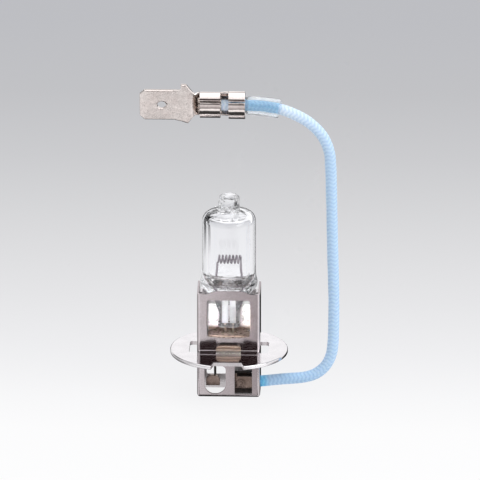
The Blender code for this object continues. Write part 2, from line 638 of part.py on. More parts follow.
def make_feed_plate(material, parent):
    """Strip that joins the feed lead to the wire's core, with the rings of its weld spot raised."""
    outline = [(1.2, 1.05), (4.5, 1.05), (4.5, 3.4), (1.5, 3.4)]
    outline += [(1.5, 3.9), (0.3, 3.9), (0.3, 2.7), (1.2, 2.7)]
    blank = prism([(x * MM, z * MM) for x, z in outline], FEED_PLATE_FRONT, FEED_PLATE_REAR, "Y")
    plate = add_mesh("feed_plate", blank, material, parent)
    for label, radius, height in (("outer_ring", 0.85, 0.1), ("inner_ring", 0.42, 0.2)):
        ring = circle(FEED_WELD_CENTRE, radius * MM, 24)
        disc = prism(ring, FEED_PLATE_FRONT - height * MM, FEED_PLATE_FRONT + 0.1 * MM, "Y")
        join(plate, disc, label)
    return plate


def make_feed_insulator(material, parent):
    """Moulded block that keeps the feed strip and the core off the holder."""
    section = [(-0.95, 0.05), (1.7, 0.05), (1.7, 3.6), (0.62, 3.6), (0.62, 0.98), (-0.95, 0.98)]
    blank = prism([(y * MM, z * MM) for y, z in section], BLOCK_LEFT, BLOCK_RIGHT, "X")
    return add_mesh("feed_insulator", blank, material, parent)


def wire_points():
    return smooth_route([(x * MM, 0.0, z * MM) for x, z in WIRE_ROUTE_MM], 2.0 * 2 * WIRE_RADIUS)


def clip_route(points, low_x, high_x, low_z):
    """The stretch of the route above low_z and between two x values, in its own order."""
    clipped = []
    for p, q in zip(points, points[1:]):
        if q.z < low_z:
            continue
        for edge in (high_x, low_x):
            if (p.x - edge) * (q.x - edge) < 0:
                clipped.append(p.lerp(q, (edge - p.x) / (q.x - p.x)))
        if low_x < q.x < high_x:
            clipped.append(q)
    return clipped


def make_wire(wire_material, core_material, sleeve_material, parent):
    route = wire_points()
    add_tube("lead_wire", route, WIRE_RADIUS, wire_material, parent, 2)
    core = [(WIRE_START_X - FIT, 0.0, WIRE_HEIGHT), (CORE_END_X, 0.0, WIRE_HEIGHT)]
    add_tube("conductor_core", core, CORE_RADIUS, core_material, parent, 2)
    above = TERMINAL_HEIGHT - 6 * MM
    free = clip_route(route, SLEEVE_FREE_FROM_X, SLEEVE_END_X, above)
    stretch = free + clip_route(route, SLEEVE_START_X, SLEEVE_GRIPPED_TO_X, above)
    outer = swept_rings(stretch, SLEEVE_OUTER, SLEEVE_OUTER, 20)[:len(free)]
    outer += swept_rings(stretch, SLEEVE_GRIPPED, SLEEVE_GRIPPED, 20)[len(free):]
    inner = swept_rings(stretch, SLEEVE_INNER, SLEEVE_INNER, 20)[:len(free)]
    inner += swept_rings(stretch, SLEEVE_GRIPPED_INNER, SLEEVE_GRIPPED_INNER, 20)[len(free):]
    add_mesh("clear_sleeve", loft(outer + inner[::-1], closed_tube=True), sleeve_material, parent)


def strip_section(x, station, points_across=28):
    """One section of the terminal's strip: a flat bar that rolls up into an oval barrel."""
    low, high, thickness, roll, wrap_low, wrap_high, half_up, half_out = station
    middle = []
    for i in range(points_across + 1):
        share = i / points_across
        flat = Vector((0.0, low + (high - low) * share))
        angle = math.radians(wrap_low + (wrap_high - wrap_low) * share)
        rolled = Vector((half_out * math.cos(angle), half_up * math.sin(angle)))
        middle.append(flat.lerp(rolled, roll))
    outer, inner = [], []
    for i, point in enumerate(middle):
        along = (middle[min(i + 1, points_across)] - middle[max(i - 1, 0)]).normalized()
        outward = Vector((along.y, -along.x))
        outer.append(point + outward * thickness / 2)
        inner.append(point - outward * thickness / 2)
    return [(x, p.x, p.y) for p in outer + inner[::-1]]


def terminal_stations():
    """Where the strip changes: position, lower and upper edge, thickness, roll, wrap and barrel size."""
    flat_wrap = (-80.0, 80.0)
    wire_wrap = (-214.0, 138.0)
    wire_size = (2.42, 1.65)
    grip_size = (2.55, 1.9)
    table = [
        (-16.6, -2.35, 2.35, 0.35, 0.0, flat_wrap, wire_size),
        (-15.7, -3.15, 3.15, 0.8, 0.0, flat_wrap, wire_size),
        (-10.2, -3.15, 3.15, 0.8, 0.0, flat_wrap, wire_size),
        (-8.92, -3.5, 3.15, 0.8, 0.0, flat_wrap, wire_size),
        (-8.86, -3.52, 4.4, 0.8, 0.0, flat_wrap, wire_size),
        (-7.95, -3.85, 4.4, 0.8, 0.0, flat_wrap, wire_size),
        (-7.65, -3.95, 4.0, 0.78, 0.0, flat_wrap, wire_size),
        (-6.75, -2.8, 2.8, 0.6, 0.0, flat_wrap, wire_size),
        (-6.3, -2.3, 2.3, 0.45, 0.25, flat_wrap, wire_size),
        (-5.85, -2.3, 2.3, 0.4, 0.7, flat_wrap, wire_size),
        (-5.45, -2.3, 2.3, 0.4, 1.0, flat_wrap, wire_size),
        (-5.38, 0.0, 0.0, 0.4, 1.0, wire_wrap, wire_size),
        (-1.6, 0.0, 0.0, 0.4, 1.0, wire_wrap, wire_size),
        (-1.53, 0.0, 0.0, 0.4, 1.0, flat_wrap, wire_size),
        (-0.1, 0.0, 0.0, 0.4, 1.0, flat_wrap, grip_size),
        (-0.03, 0.0, 0.0, 0.4, 1.0, wire_wrap, grip_size),
        (3.0, 0.0, 0.0, 0.4, 1.0, wire_wrap, grip_size),
    ]
    stations = []
    for x, low, high, thickness, roll, wrap, size in table:
        station = (low * MM, high * MM, thickness * MM, roll, *wrap, size[0] * MM, size[1] * MM)
        stations.append((x * MM, station))
    return stations


def make_terminal(terminal_material, core_material, parent):
    mount = add_empty("terminal_mount", parent)
    mount.location = (0.0, 0.0, TERMINAL_HEIGHT)
    mount.rotation_euler = (TERMINAL_ROLL, 0.0, 0.0)
    rings = [strip_section(x, station) for x, station in terminal_stations()]
    terminal = add_mesh("spade_terminal", loft(rings), terminal_material, mount)
    hole = circle((TAB_HOLE_X, 0.0), TAB_HOLE_RADIUS, 24)
    cut(terminal, prism(hole, -TAB_THICKNESS, TAB_THICKNESS, "Y"), "hole")
    bundle = [Vector((-5.3 * MM, 0.0, 0.0)), Vector((-1.65 * MM, 0.0, 0.0))]
    core = swept_rings(bundle, CRIMPED_CORE_HALF_Y, CRIMPED_CORE_HALF_UP, 20)
    add_mesh("conductor_tip", loft(core), core_material, mount)
    return terminal


def main():
    clear_scene()
    nickel = make_material("nickel_plate", (0.62, 0.58, 0.58), 0.12, 1.0)
    glass = make_material("quartz_glass", (0.97, 0.98, 1.0), 0.02, 0.0, 1.0)
    tungsten = make_material("tungsten", (0.3, 0.27, 0.3), 0.4, 1.0)
    molybdenum = make_material("molybdenum", (0.5, 0.48, 0.47), 0.3, 1.0)
    oxidised = make_material("oxidised_wire", (0.04, 0.035, 0.035), 0.45, 0.8)
    strap = make_material("strap_metal", (0.3, 0.24, 0.21), 0.35, 1.0)
    mica = make_material("insulator", (0.16, 0.11, 0.09), 0.6, 0.0)
    copper = make_material("tinned_copper", (0.66, 0.58, 0.52), 0.35, 1.0)
    braid = make_material("glass_braid", (0.5, 0.7, 0.86), 0.75, 0.0)
    sleeve = make_material("clear_sleeve", (0.9, 0.95, 1.0), 0.1, 0.0, 0.9)
    brass = make_material("tinned_brass", (0.74, 0.65, 0.6), 0.25, 1.0)

    bulb = add_empty("bulb")
    holder = add_empty("holder", bulb)
    lamp = add_empty("lamp", bulb)
    pigtail = add_empty("pigtail", bulb)

    make_flange_disc(nickel, holder)
    make_cage_front(nickel, holder)
    make_cage_rear(nickel, holder)
    make_pinch_bracket(nickel, holder)
    make_glass_envelope(glass, lamp)
    make_filament(tungsten, lamp)
    make_leads(tungsten, molybdenum, oxidised, lamp)
    make_ground_strap(strap, holder)
    make_feed_plate(strap, holder)
    make_feed_insulator(mica, holder)
    make_wire(braid, copper, sleeve, pigtail)
    make_terminal(brass, copper, pigtail)


main()
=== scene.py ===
import math
from collections import namedtuple

import bmesh
import bpy
from mathutils import Matrix, Vector


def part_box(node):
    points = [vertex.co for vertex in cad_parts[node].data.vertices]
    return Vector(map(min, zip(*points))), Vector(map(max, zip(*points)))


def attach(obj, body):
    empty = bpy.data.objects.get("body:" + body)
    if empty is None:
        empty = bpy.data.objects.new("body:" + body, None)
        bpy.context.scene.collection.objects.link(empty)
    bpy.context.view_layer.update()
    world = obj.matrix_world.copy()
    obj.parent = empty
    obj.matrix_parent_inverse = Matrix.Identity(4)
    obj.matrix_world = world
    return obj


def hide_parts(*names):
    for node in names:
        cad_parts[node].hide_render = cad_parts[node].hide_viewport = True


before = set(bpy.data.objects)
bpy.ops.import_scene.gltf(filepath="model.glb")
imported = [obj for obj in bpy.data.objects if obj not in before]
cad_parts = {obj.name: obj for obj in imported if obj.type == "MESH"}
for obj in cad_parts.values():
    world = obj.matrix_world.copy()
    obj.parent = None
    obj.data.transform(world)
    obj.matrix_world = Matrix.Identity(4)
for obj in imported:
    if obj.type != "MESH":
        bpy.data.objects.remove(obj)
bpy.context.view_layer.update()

MM = 0.001

# Camera, as the photograph shows the lamp.
VIEW_AZIMUTH = 2.0
VIEW_ELEVATION = 18.96
VIEW_TARGET = Vector((2.05, 0.0, 30.11)) * MM
VIEW_DISTANCE = 2238.0 * MM
VIEW_LENS = 900.0

# Sizes from here to PAST are millimetres. The lead wire's route is (x, z), in the plane y = 0.
WIRE_ROUTE = [
    (4.7, 2.19), (5.97, 2.26), (9.9, 2.7), (14.4, 3.2), (16.4, 3.95), (18.1, 5.5), (19.1, 7.6),
    (19.45, 9.9), (19.55, 12.4), (19.6, 18.3), (19.35, 28.1), (19.13, 38.0), (18.93, 44.9),
    (18.65, 47.7), (17.4, 50.7), (14.75, 53.45), (11.4, 55.25), (9.3, 55.95), (6.0, 56.45),
    (2.6, 56.6), (-1.4, 56.6),
]
WIRE_RADIUS = 1.05
SLEEVED_ABOVE = 50.0

# Terminal: height of its middle, how far it is rolled about its length, and its locking hole.
TERMINAL_Z = 56.6
TERMINAL_ROLL = 15.3
TAB_HOLE_X = -12.5
TAB_HOLE_RADIUS = 0.85

# Thickness of the holder's sheet and the radius of its bends.
HOLDER_SHEET = 0.4
HOLDER_BEND = 0.6

# How far a cutting shape reaches past the metal that it cuts.
PAST = 1.0

Corner = namedtuple("Corner", "x y z")

# Share of the braid's tone at which its deep blue, a painted shade, gives way to plain yarn.
DEEP_UP_TO = 0.12

# How far the holder's walls bulge, as slope per millimetre, and the angle from which an edge is sharp.
PANEL_CROWN = 0.009
SHARP_ANGLE = 50.0

# Floor: how much of its brightness is its own glow, which is painted light, as seen directly and through
# glass, and its matt share.
FLOOR_PAINTED_GLOW = 0.92
FLOOR_PAINTED_GLOW_THROUGH_GLASS = 1.05
FLOOR_MATT = 0.06
# Floor: how far it lies under the lamp's foot, and where its tones, a painted falloff of light, start and end
# towards the back.
FLOOR_DROP = 0.05 * MM
FLOOR_FADE = (-50 * MM, 350 * MM)
# Painted shade: the floor's tones run from near white by the lamp to grey far behind it.
FLOOR_PAINTED_FALLOFF_TONES = [
    (0.0, (0.99, 0.99, 0.995)), (0.072, (0.98, 0.98, 0.985)), (0.115, (0.945, 0.945, 0.955)),
    (0.186, (0.865, 0.865, 0.88)), (0.2575, (0.795, 0.795, 0.81)), (0.3435, (0.72, 0.72, 0.735)),
    (0.40, (0.668, 0.67, 0.685)), (0.4725, (0.605, 0.607, 0.625)), (0.5725, (0.543, 0.546, 0.566)),
    (0.6875, (0.518, 0.523, 0.55)), (1.0, (0.50, 0.505, 0.53)),
]

# Brightness of the studio by elevation in degrees, in front of the lamp and behind it.
FRONT_TONES = [
    (-90, 0.05), (-53, 0.05), (-50, 1.2), (-41, 1.2), (-38, 0.3), (-34, 0.2), (-29, 0.3), (-26, 1.12),
    (-16, 1.16), (-6, 0.8), (0, 0.65), (8, 0.72), (22, 0.95), (40, 1.1), (90, 1.4),
]
REAR_TONES = [
    (-90, 0.05), (-30, 0.05), (-23, 0.2), (-14, 0.85), (-4, 1.0), (10, 1.05), (20, 1.13), (30, 1.05),
    (40, 0.6), (48, 0.5), (56, 0.65), (62, 1.4), (90, 1.4),
]
# Brightness from the left side, at 0, to the right side, at 1.
SIDE_TONES = [(0.0, 0.8), (0.25, 0.9), (0.45, 1.0), (0.6, 1.0), (1.0, 1.1)]
# Dark places: direction, inner and outer angle in degrees, and colour.
DARK_PLACES = [
    ((0.224, -0.90, -0.375), 6.0, 26.0, (0.48, 0.445, 0.455)),
    ((0.05, -0.95, 0.31), 17.0, 24.0, (0.03, 0.015, 0.016)),
    ((0.36, 0.87, -0.34), 23.0, 28.0, (0.01, 0.01, 0.01)),
    ((-0.28, 0.96, -0.03), 8.0, 14.0, (0.01, 0.01, 0.01)),
    ((-0.72, 0.55, 0.42), 14.0, 19.0, (0.02, 0.02, 0.02)),
]

# Black card: bearing from the lamp, distance, size, height of its middle, where it fades in as a share of
# its height from its middle, and colour.
CARD_AZIMUTH = -144.0
CARD_DISTANCE = 50 * MM
CARD_WIDTH = 24 * MM
CARD_HEIGHT = 60 * MM
CARD_CENTRE_Z = 40 * MM
CARD_FADE = (-0.5, -0.38)
CARD_BLACK = (0.02, 0.02, 0.022)


# ---------------------------------------------------------------- mesh helpers


def add_object(name, mesh, material, sharp_degrees=30.0):
    mesh.shade_smooth()
    mesh.set_sharp_from_angle(angle=math.radians(sharp_degrees))
    piece = bpy.data.objects.new(name, mesh)
    bpy.context.scene.collection.objects.link(piece)
    if material is not None:
        mesh.materials.append(material)
    return piece


def mesh_from(name, bm):
    bmesh.ops.recalc_face_normals(bm, faces=bm.faces)
    mesh = bpy.data.meshes.new(name)
    bm.to_mesh(mesh)
    bm.free()
    return mesh


def solid(name, bm, material, sharp_degrees=30.0):
    return add_object(name, mesh_from(name, bm), material, sharp_degrees)


def loft(rings, closed_tube=False, bm=None):
    """Skin over equal rings, in millimetres: capped at both ends, or joined into a ring of rings."""
    bm = bm or bmesh.new()
    loops = [[bm.verts.new([value * MM for value in point]) for point in ring] for ring in rings]
    pairs = list(zip(loops, loops[1:]))
    if closed_tube:
        pairs.append((loops[-1], loops[0]))
    count = len(loops[0])
    for lower, upper in pairs:
        for i in range(count):
            j = (i + 1) % count
            bm.faces.new((lower[i], lower[j], upper[j], upper[i]))
    if not closed_tube:
        bm.faces.new(loops[0][::-1])
        bm.faces.new(loops[-1])
    return bm


def prism(outline, low, high, axis):
    """An outline across the axis, drawn out along it from one level to another, in millimetres."""
    place = {
        "X": lambda p, level: (level, p[0], p[1]),
        "Y": lambda p, level: (p[0], level, p[1]),
        "Z": lambda p, level: (p[0], p[1], level),
    }[axis]
    return loft([[place(p, level) for p in outline] for level in (low, high)])


def arc(centre, radius, start_degrees, end_degrees, steps=10):
    points = []
    for i in range(steps + 1):
        angle = math.radians(start_degrees + (end_degrees - start_degrees) * i / steps)
        points.append((centre[0] + radius * math.cos(angle), centre[1] + radius * math.sin(angle)))
    return points


def circle(centre, radius, segments):
    return arc(centre, radius, 0.0, 360.0 * (segments - 1) / segments, segments - 1)


def rounded_rectangle(low_u, high_u, low_v, high_v, radii, steps=8):
    corners = [
        (low_u, low_v, 1, 1, 180),
        (high_u, low_v, -1, 1, 270),
        (high_u, high_v, -1, -1, 0),
        (low_u, high_v, 1, -1, 90),
    ]
    points = []
    for (u, v, inward_u, inward_v, start), radius in zip(corners, radii):
        if radius <= 0:
            points.append((u, v))
            continue
        centre = (u + inward_u * radius, v + inward_v * radius)
        points.extend(arc(centre, radius, start, start + 90, steps))
    return points


def combine(piece, bm, operation):
    """Cuts the shape out of the piece, or joins it on, and keeps the result as the piece's mesh."""
    other = solid("tool", bm, None)
    modifier = piece.modifiers.new("tool", "BOOLEAN")
    modifier.operation = operation
    modifier.solver = "EXACT"
    modifier.object = other
    bake_modifiers(piece)
    bpy.data.objects.remove(other, do_unlink=True)


def cut(piece, bm):
    combine(piece, bm, "DIFFERENCE")


def join(piece, bm):
    combine(piece, bm, "UNION")


def bake_modifiers(piece):
    bpy.context.view_layer.update()
    evaluated = piece.evaluated_get(bpy.context.evaluated_depsgraph_get())
    mesh = bpy.data.meshes.new_from_object(evaluated)
    piece.modifiers.clear()
    piece.data = mesh


def weight_normals(piece):
    """Keeps broad flat faces flat, so that only the narrow rounded strips between them are shaded round."""
    piece.data.set_sharp_from_angle(angle=math.radians(SHARP_ANGLE))
    modifier = piece.modifiers.new("normals", "WEIGHTED_NORMAL")
    modifier.mode = "FACE_AREA"
    modifier.weight = 100
    modifier.keep_sharp = True
    bake_modifiers(piece)


def soften_edges(piece, width, segments=2, angle=40.0):
    """Rounds the sharp edges of a pressed or moulded piece by a small radius."""
    modifier = piece.modifiers.new("edges", "BEVEL")
    modifier.width = width * MM
    modifier.segments = segments
    modifier.limit_method = "ANGLE"
    modifier.angle_limit = math.radians(angle)
    modifier.use_clamp_overlap = True
    modifier.harden_normals = False
    bake_modifiers(piece)
    piece.data.shade_smooth()
    weight_normals(piece)


def box(node):
    """Lowest and highest corner of a CAD node, in millimetres."""
    return [Corner(*(value / MM for value in corner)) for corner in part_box(node)]


def stand_for(piece, node):
    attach(piece, "root")
    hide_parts(node)
    return piece


def route_length(points):
    return sum((q - p).length for p, q in zip(points, points[1:]))


def smooth_route(points, spacing):
    """Points a given distance apart on a centripetal Catmull-Rom curve through the route's points."""
    knots = [Vector(p) for p in points]
    ends = [2 * knots[0] - knots[1]] + knots + [2 * knots[-1] - knots[-2]]
    dense = []
    for a, b, c, d in zip(ends, ends[1:], ends[2:], ends[3:]):
        t1 = (b - a).length ** 0.5
        t2 = t1 + (c - b).length ** 0.5
        t3 = t2 + (d - c).length ** 0.5
        for i in range(24):
            t = t1 + (t2 - t1) * i / 24
            ab = a.lerp(b, t / t1)
            bc = b.lerp(c, (t - t1) / (t2 - t1))
            cd = c.lerp(d, (t - t2) / (t3 - t2))
            abc = ab.lerp(bc, t / t2)
            bcd = bc.lerp(cd, (t - t1) / (t3 - t1))
            dense.append(abc.lerp(bcd, (t - t1) / (t2 - t1)))
    dense.append(knots[-1])
    total = route_length(dense)
    steps = max(1, round(total / spacing))
    result = [dense[0]]
    travelled = 0.0
    for p, q in zip(dense, dense[1:]):
        length = (q - p).length
        while length > 0 and len(result) < steps and travelled + length >= total * len(result) / steps:
            result.append(p.lerp(q, (total * len(result) / steps - travelled) / length))
        travelled += length
    result.append(dense[-1])
    return result


def frames_along(points):
    """Two directions across the route at each point, carried along without twist."""
    frames = []
    side = Vector((0.0, 1.0, 0.0))
    for i in range(len(points)):
        forward = (points[min(i + 1, len(points) - 1)] - points[max(i - 1, 0)]).normalized()
        side = (side - forward * side.dot(forward)).normalized()
        frames.append((side, forward.cross(side).normalized()))
    return frames


def tube_rings(points, radius, sides):
    """Rings of a round tube; radius is a number or a function of the share of the length."""
    rings = []
    last = len(points) - 1
    angles = [2 * math.pi * i / sides for i in range(sides)]
    for k, (point, (side, up)) in enumerate(zip(points, frames_along(points))):
        size = radius(k / last) if callable(radius) else radius
        side, up = side * size, up * size
        rings.append([point + side * math.cos(angle) + up * math.sin(angle) for angle in angles])
    return rings


def smoothstep(low, high, value):
    share = min(1.0, max(0.0, (value - low) / (high - low)))
    return share * share * (3 - 2 * share)


# ---------------------------------------------------------------- node helpers


def new_material(name, metallic=0.0):
    material = bpy.data.materials.new(name)
    material.use_nodes = True
    shader = material.node_tree.nodes["Principled BSDF"]
    shader.inputs["Metallic"].default_value = metallic
    return material, material.node_tree, shader


def add_node(tree, kind, **values):
    node = tree.nodes.new("ShaderNode" + kind)
    for key, value in values.items():
        setattr(node, key, value)
    return node


def put(socket, value):
    """Links another node's output into the socket, or sets the socket to a number or a colour."""
    if isinstance(value, bpy.types.NodeSocket):
        socket.id_data.links.new(value, socket)
    else:
        socket.default_value = (*value, 1.0) if isinstance(value, tuple) else value


def feed(shader, name, value):
    put(shader.inputs[name], value)


def object_coordinates(tree, scale=(1.0, 1.0, 1.0)):
    """The piece's own coordinates, which are metres, turned into millimetres and then scaled."""
    mapping = add_node(tree, "Mapping")
    mapping.inputs["Scale"].default_value = [1000.0 * s for s in scale]
    put(mapping.inputs["Vector"], add_node(tree, "TexCoord").outputs["Object"])
    return mapping.outputs["Vector"]


def noise(vector, scale, detail=3.0, roughness=0.55):
    node = add_node(vector.id_data, "TexNoise")
    for key, value in (("Vector", vector), ("Scale", scale), ("Detail", detail), ("Roughness", roughness)):
        put(node.inputs[key], value)
    return node.outputs["Fac"]


def ramp(value, stops):
    """Colour ramp; stops are (position, (r, g, b))."""
    node = add_node(value.id_data, "ValToRGB")
    elements = node.color_ramp.elements
    while len(elements) < len(stops):
        elements.new(0.5)
    for element, (position, colour) in zip(elements, stops):
        element.position = position
        element.color = (*colour, 1.0)
    put(node.inputs["Fac"], value)
    return node.outputs["Color"]


def map_range(value, from_low, from_high, to_low=0.0, to_high=1.0):
    node = add_node(value.id_data, "MapRange")
    keys = ("Value", "From Min", "From Max", "To Min", "To Max")
    for key, number in zip(keys, (value, from_low, from_high, to_low, to_high)):
        put(node.inputs[key], number)
    return node.outputs["Result"]


def bump(height, strength, distance, normal=None):
    node = add_node(height.id_data, "Bump")
    for key, value in (("Height", height), ("Strength", strength), ("Distance", distance)):
        put(node.inputs[key], value)
    if normal is not None:
        put(node.inputs["Normal"], normal)
    return node.outputs["Normal"]


def split_vector(vector):
    """The X, Y and Z of a vector, as sockets by name."""
    split = add_node(vector.id_data, "SeparateXYZ")
    put(split.inputs["Vector"], vector)
    return split.outputs


def axis_value(tree, axis):
    """The X, Y or Z of the piece's own coordinates, in millimetres."""
    return split_vector(object_coordinates(tree))[axis]


def mix_colour(factor, first, second, blend="MIX"):
    tree = next(value.id_data for value in (factor, first) if isinstance(value, bpy.types.NodeSocket))
    node = add_node(tree, "Mix", data_type="RGBA", blend_type=blend)
    for key, value in (("Factor", factor), ("A", first), ("B", second)):
        put(node.inputs[key], value)
    return node.outputs["Result"]


def math_node(operation, first, second):
    node = add_node(first.id_data, "Math", operation=operation)
    put(node.inputs[0], first)
    put(node.inputs[1], second)
    return node.outputs["Value"]


def product(first, second):
    return math_node("MULTIPLY", first, second)


def uneven(vector, scale, detail, low, high):
    """A number that wanders between low and high over the surface."""
    return map_range(noise(vector, scale, detail), 0.3, 0.7, low, high)


# ---------------------------------------------------------------- materials


def sheet_metal(name, dark, light, rough_low, rough_high, grain=(1.0, 1.0, 1.0), wave=0.02, scratch=0.05,
                metallic=1.0, crown=0.0, tinted=None, burnished=None):
    """Plated sheet: clouding of colour and polish, a slow waviness, rolling marks and fine pitting.

    crown is how far a wide face bulges, as slope per millimetre from the middle. tinted is a colour and
    the two heights between which it fades out; burnished is the two x values where polishing sets in.
    """
    material, tree, shader = new_material(name, metallic)
    here = object_coordinates(tree)
    tint = ramp(noise(here, 0.45, 4.0), [(0.3, dark), (0.7, light)])
    if tinted:
        colour, low, high = tinted
        tint = mix_colour(map_range(axis_value(tree, "Z"), low, high), colour, tint)
    speckle = ramp(noise(here, 5.0, 3.0, 0.7), [(0.35, (0.88, 0.87, 0.87)), (0.65, (1.0, 1.0, 1.0))])
    feed(shader, "Base Color", mix_colour(1.0, tint, speckle, "MULTIPLY"))
    rough = map_range(noise(here, 1.7, 5.0, 0.7), 0.3, 0.7, rough_low, rough_high)
    if burnished:
        rough = product(rough, map_range(axis_value(tree, "X"), *burnished, 1.0, 0.45))
    feed(shader, "Roughness", rough)
    normal = bump(noise(here, 0.22, 1.0), wave, 0.002)
    if crown:
        across = axis_value(tree, "X")
        normal = bump(product(product(across, across), -crown / 2), 1.0, 0.001, normal)
    marks = noise(object_coordinates(tree, grain), 6.0)
    feed(shader, "Normal", bump(marks, scratch, 0.0001, normal))
    return material


def weld_tab_metal(name, root, top):
    """Tabs of the flange between two heights: pitted metal, bright at the root, in bands that darken to near
    black at the top.
    """
    material, tree, shader = new_material(name, 0.3)
    here = object_coordinates(tree)
    waver = map_range(noise(object_coordinates(tree, (0.4, 1.0, 1.0)), 1.5), 0.0, 1.0, -0.22, 0.22)
    share = map_range(math_node("ADD", axis_value(tree, "Z"), waver), root, top)
    bands = ramp(share, [
        (0.0, (0.74, 0.68, 0.66)), (0.16, (0.50, 0.46, 0.45)), (0.3, (0.28, 0.24, 0.23)),
        (0.42, (0.52, 0.40, 0.35)), (0.56, (0.13, 0.08, 0.06)), (0.66, (0.22, 0.14, 0.10)),
        (0.76, (0.62, 0.49, 0.41)), (0.86, (0.07, 0.04, 0.03)), (1.0, (0.045, 0.026, 0.02)),
    ])
    speckle = ramp(noise(here, 6.0, 4.0, 0.7), [(0.38, (0.22, 0.2, 0.19)), (0.6, (0.5, 0.5, 0.5))])
    feed(shader, "Base Color", mix_colour(1.0, bands, speckle, "MULTIPLY"))
    feed(shader, "Roughness", uneven(here, 3.0, 3.0, 0.3, 0.5))
    feed(shader, "Normal", bump(noise(here, 2.5, 4.0), 0.5, 0.0002))
    return material


def clear_glass(name):
    """Fused quartz: drawing lines, ripples where it was worked, grey ribs and a faintly frosted web."""
    material, tree, shader = new_material(name)
    feed(shader, "IOR", 1.458)
    height = axis_value(tree, "Z")
    across = math_node("ABSOLUTE", axis_value(tree, "X"), 0.0)
    pinch = map_range(height, 19.2, 18.6)
    rib = product(pinch, map_range(across, 1.36, 1.5))
    feed(shader, "Base Color", ramp(rib, [(0.0, (0.99, 0.992, 1.0)), (1.0, (0.60, 0.60, 0.615))]))
    web = product(product(pinch, map_range(across, 1.5, 1.36)), map_range(across, 0.1, 0.3))
    feed(shader, "Transmission Weight", map_range(web, 0.0, 1.0, 1.0, 0.94))
    throat = product(map_range(height, 18.8, 20.5, 0.0, 0.4), map_range(height, 24.2, 22.4))
    worked = math_node("MAXIMUM", throat, map_range(height, 35.4, 36.2, 0.0, 0.85))
    normal = bump(noise(object_coordinates(tree, (1.0, 1.0, 0.12)), 0.9, 2.0), 0.05, 0.0004)
    ripples = noise(object_coordinates(tree, (1.0, 1.0, 1.3)), 0.95, 2.0)
    feed(shader, "Normal", bump(ripples, worked, 0.0005, normal))
    feed(shader, "Roughness", map_range(noise(object_coordinates(tree), 0.5), 0.45, 0.8, 0.0, 0.03))
    return material


def clear_plastic(name):
    """Soft clear sleeve, a little milky, with faint draw marks."""
    material, tree, shader = new_material(name)
    here = object_coordinates(tree)
    feed(shader, "Base Color", ramp(noise(here, 0.8), [(0.3, (0.90, 0.96, 1.0)), (0.7, (0.98, 0.99, 1.0))]))
    feed(shader, "Transmission Weight", 0.93)
    feed(shader, "IOR", 1.42)
    feed(shader, "Roughness", uneven(here, 1.5, 4.0, 0.0, 0.05))
    feed(shader, "Normal", bump(noise(object_coordinates(tree, (0.2, 1.0, 1.0)), 1.6), 0.2, 0.0003))
    return material


def drawn_wire(name, dark, light, roughness, metallic=1.0, pale_above=None):
    """Drawn metal wire with uneven dulling; pale_above is the heights where it turns to bare metal."""
    material, tree, shader = new_material(name, metallic)
    here = object_coordinates(tree)
    colour = ramp(noise(here, 1.3, 4.0), [(0.3, dark), (0.7, light)])
    if pale_above:
        colour = mix_colour(map_range(axis_value(tree, "Z"), *pale_above), colour, (0.72, 0.62, 0.55))
    feed(shader, "Base Color", colour)
    feed(shader, "Roughness", uneven(here, 3.0, 4.0, roughness * 0.7, roughness * 1.3))
    feed(shader, "Normal", bump(noise(here, 9.0, 2.0), 0.1, 0.0001))
    return material


def moulded(name, dark, light):
    """Moulded insulator: clouded colour and a fine uneven skin."""
    material, tree, shader = new_material(name)
    here = object_coordinates(tree)
    feed(shader, "Base Color", ramp(noise(here, 2.0, 5.0), [(0.3, dark), (0.7, light)]))
    feed(shader, "Roughness", uneven(here, 4.0, 3.0, 0.35, 0.6))
    feed(shader, "Normal", bump(noise(here, 8.0, 4.0), 0.3, 0.0001))
    return material


def braided_glass(name):
    """Blue glass-fibre yarns with fibre lines; deep blue in the grooves is painted shade and pale crowns a
    painted highlight.

    The mesh says how far a point is up its yarn, and a tone of painted light along the wire: 0 is painted
    shade under the sleeve and where the wire enters the holder, DEEP_UP_TO is plain yarn and 1 is a pale
    painted sheen.
    """
    material, tree, shader = new_material(name)
    crown = add_node(tree, "Attribute", attribute_name="crown").outputs["Fac"]
    tone = add_node(tree, "Attribute", attribute_name="tone").outputs["Fac"]
    # Painted light: each ramp is darker towards the grooves as painted shade; deep is the painted shade and
    # pale the painted sheen along the wire.
    deep = ramp(crown, [(0.0, (0.055, 0.39, 0.79)), (1.0, (0.145, 0.65, 0.98))])
    yarn = ramp(crown, [(0.0, (0.25, 0.43, 0.68)), (0.5, (0.35, 0.57, 0.83)), (1.0, (0.47, 0.69, 0.93))])
    pale = ramp(crown, [(0.0, (0.44, 0.57, 0.76)), (0.5, (0.68, 0.79, 0.93)), (1.0, (0.88, 0.93, 0.98))])
    blue = mix_colour(map_range(tone, 0.0, DEEP_UP_TO), deep, yarn)
    mixed = mix_colour(map_range(tone, DEEP_UP_TO, 1.0), blue, pale)
    fibre = noise(object_coordinates(tree), 7.0)
    worn = map_range(fibre, 0.35, 0.75, 0.0, 0.3)
    feed(shader, "Base Color", mix_colour(worn, mixed, (0.68, 0.80, 0.93)))
    feed(shader, "Roughness", map_range(fibre, 0.3, 0.7, 0.55, 0.8))
    feed(shader, "Sheen Weight", 0.12)
    feed(shader, "Subsurface Weight", 0.1)
    feed(shader, "Subsurface Scale", 0.0006)
    shader.inputs["Subsurface Radius"].default_value = (0.4, 0.6, 1.0)
    feed(shader, "Normal", bump(fibre, 0.3, 0.00006))
    return material


# ---------------------------------------------------------------- glass


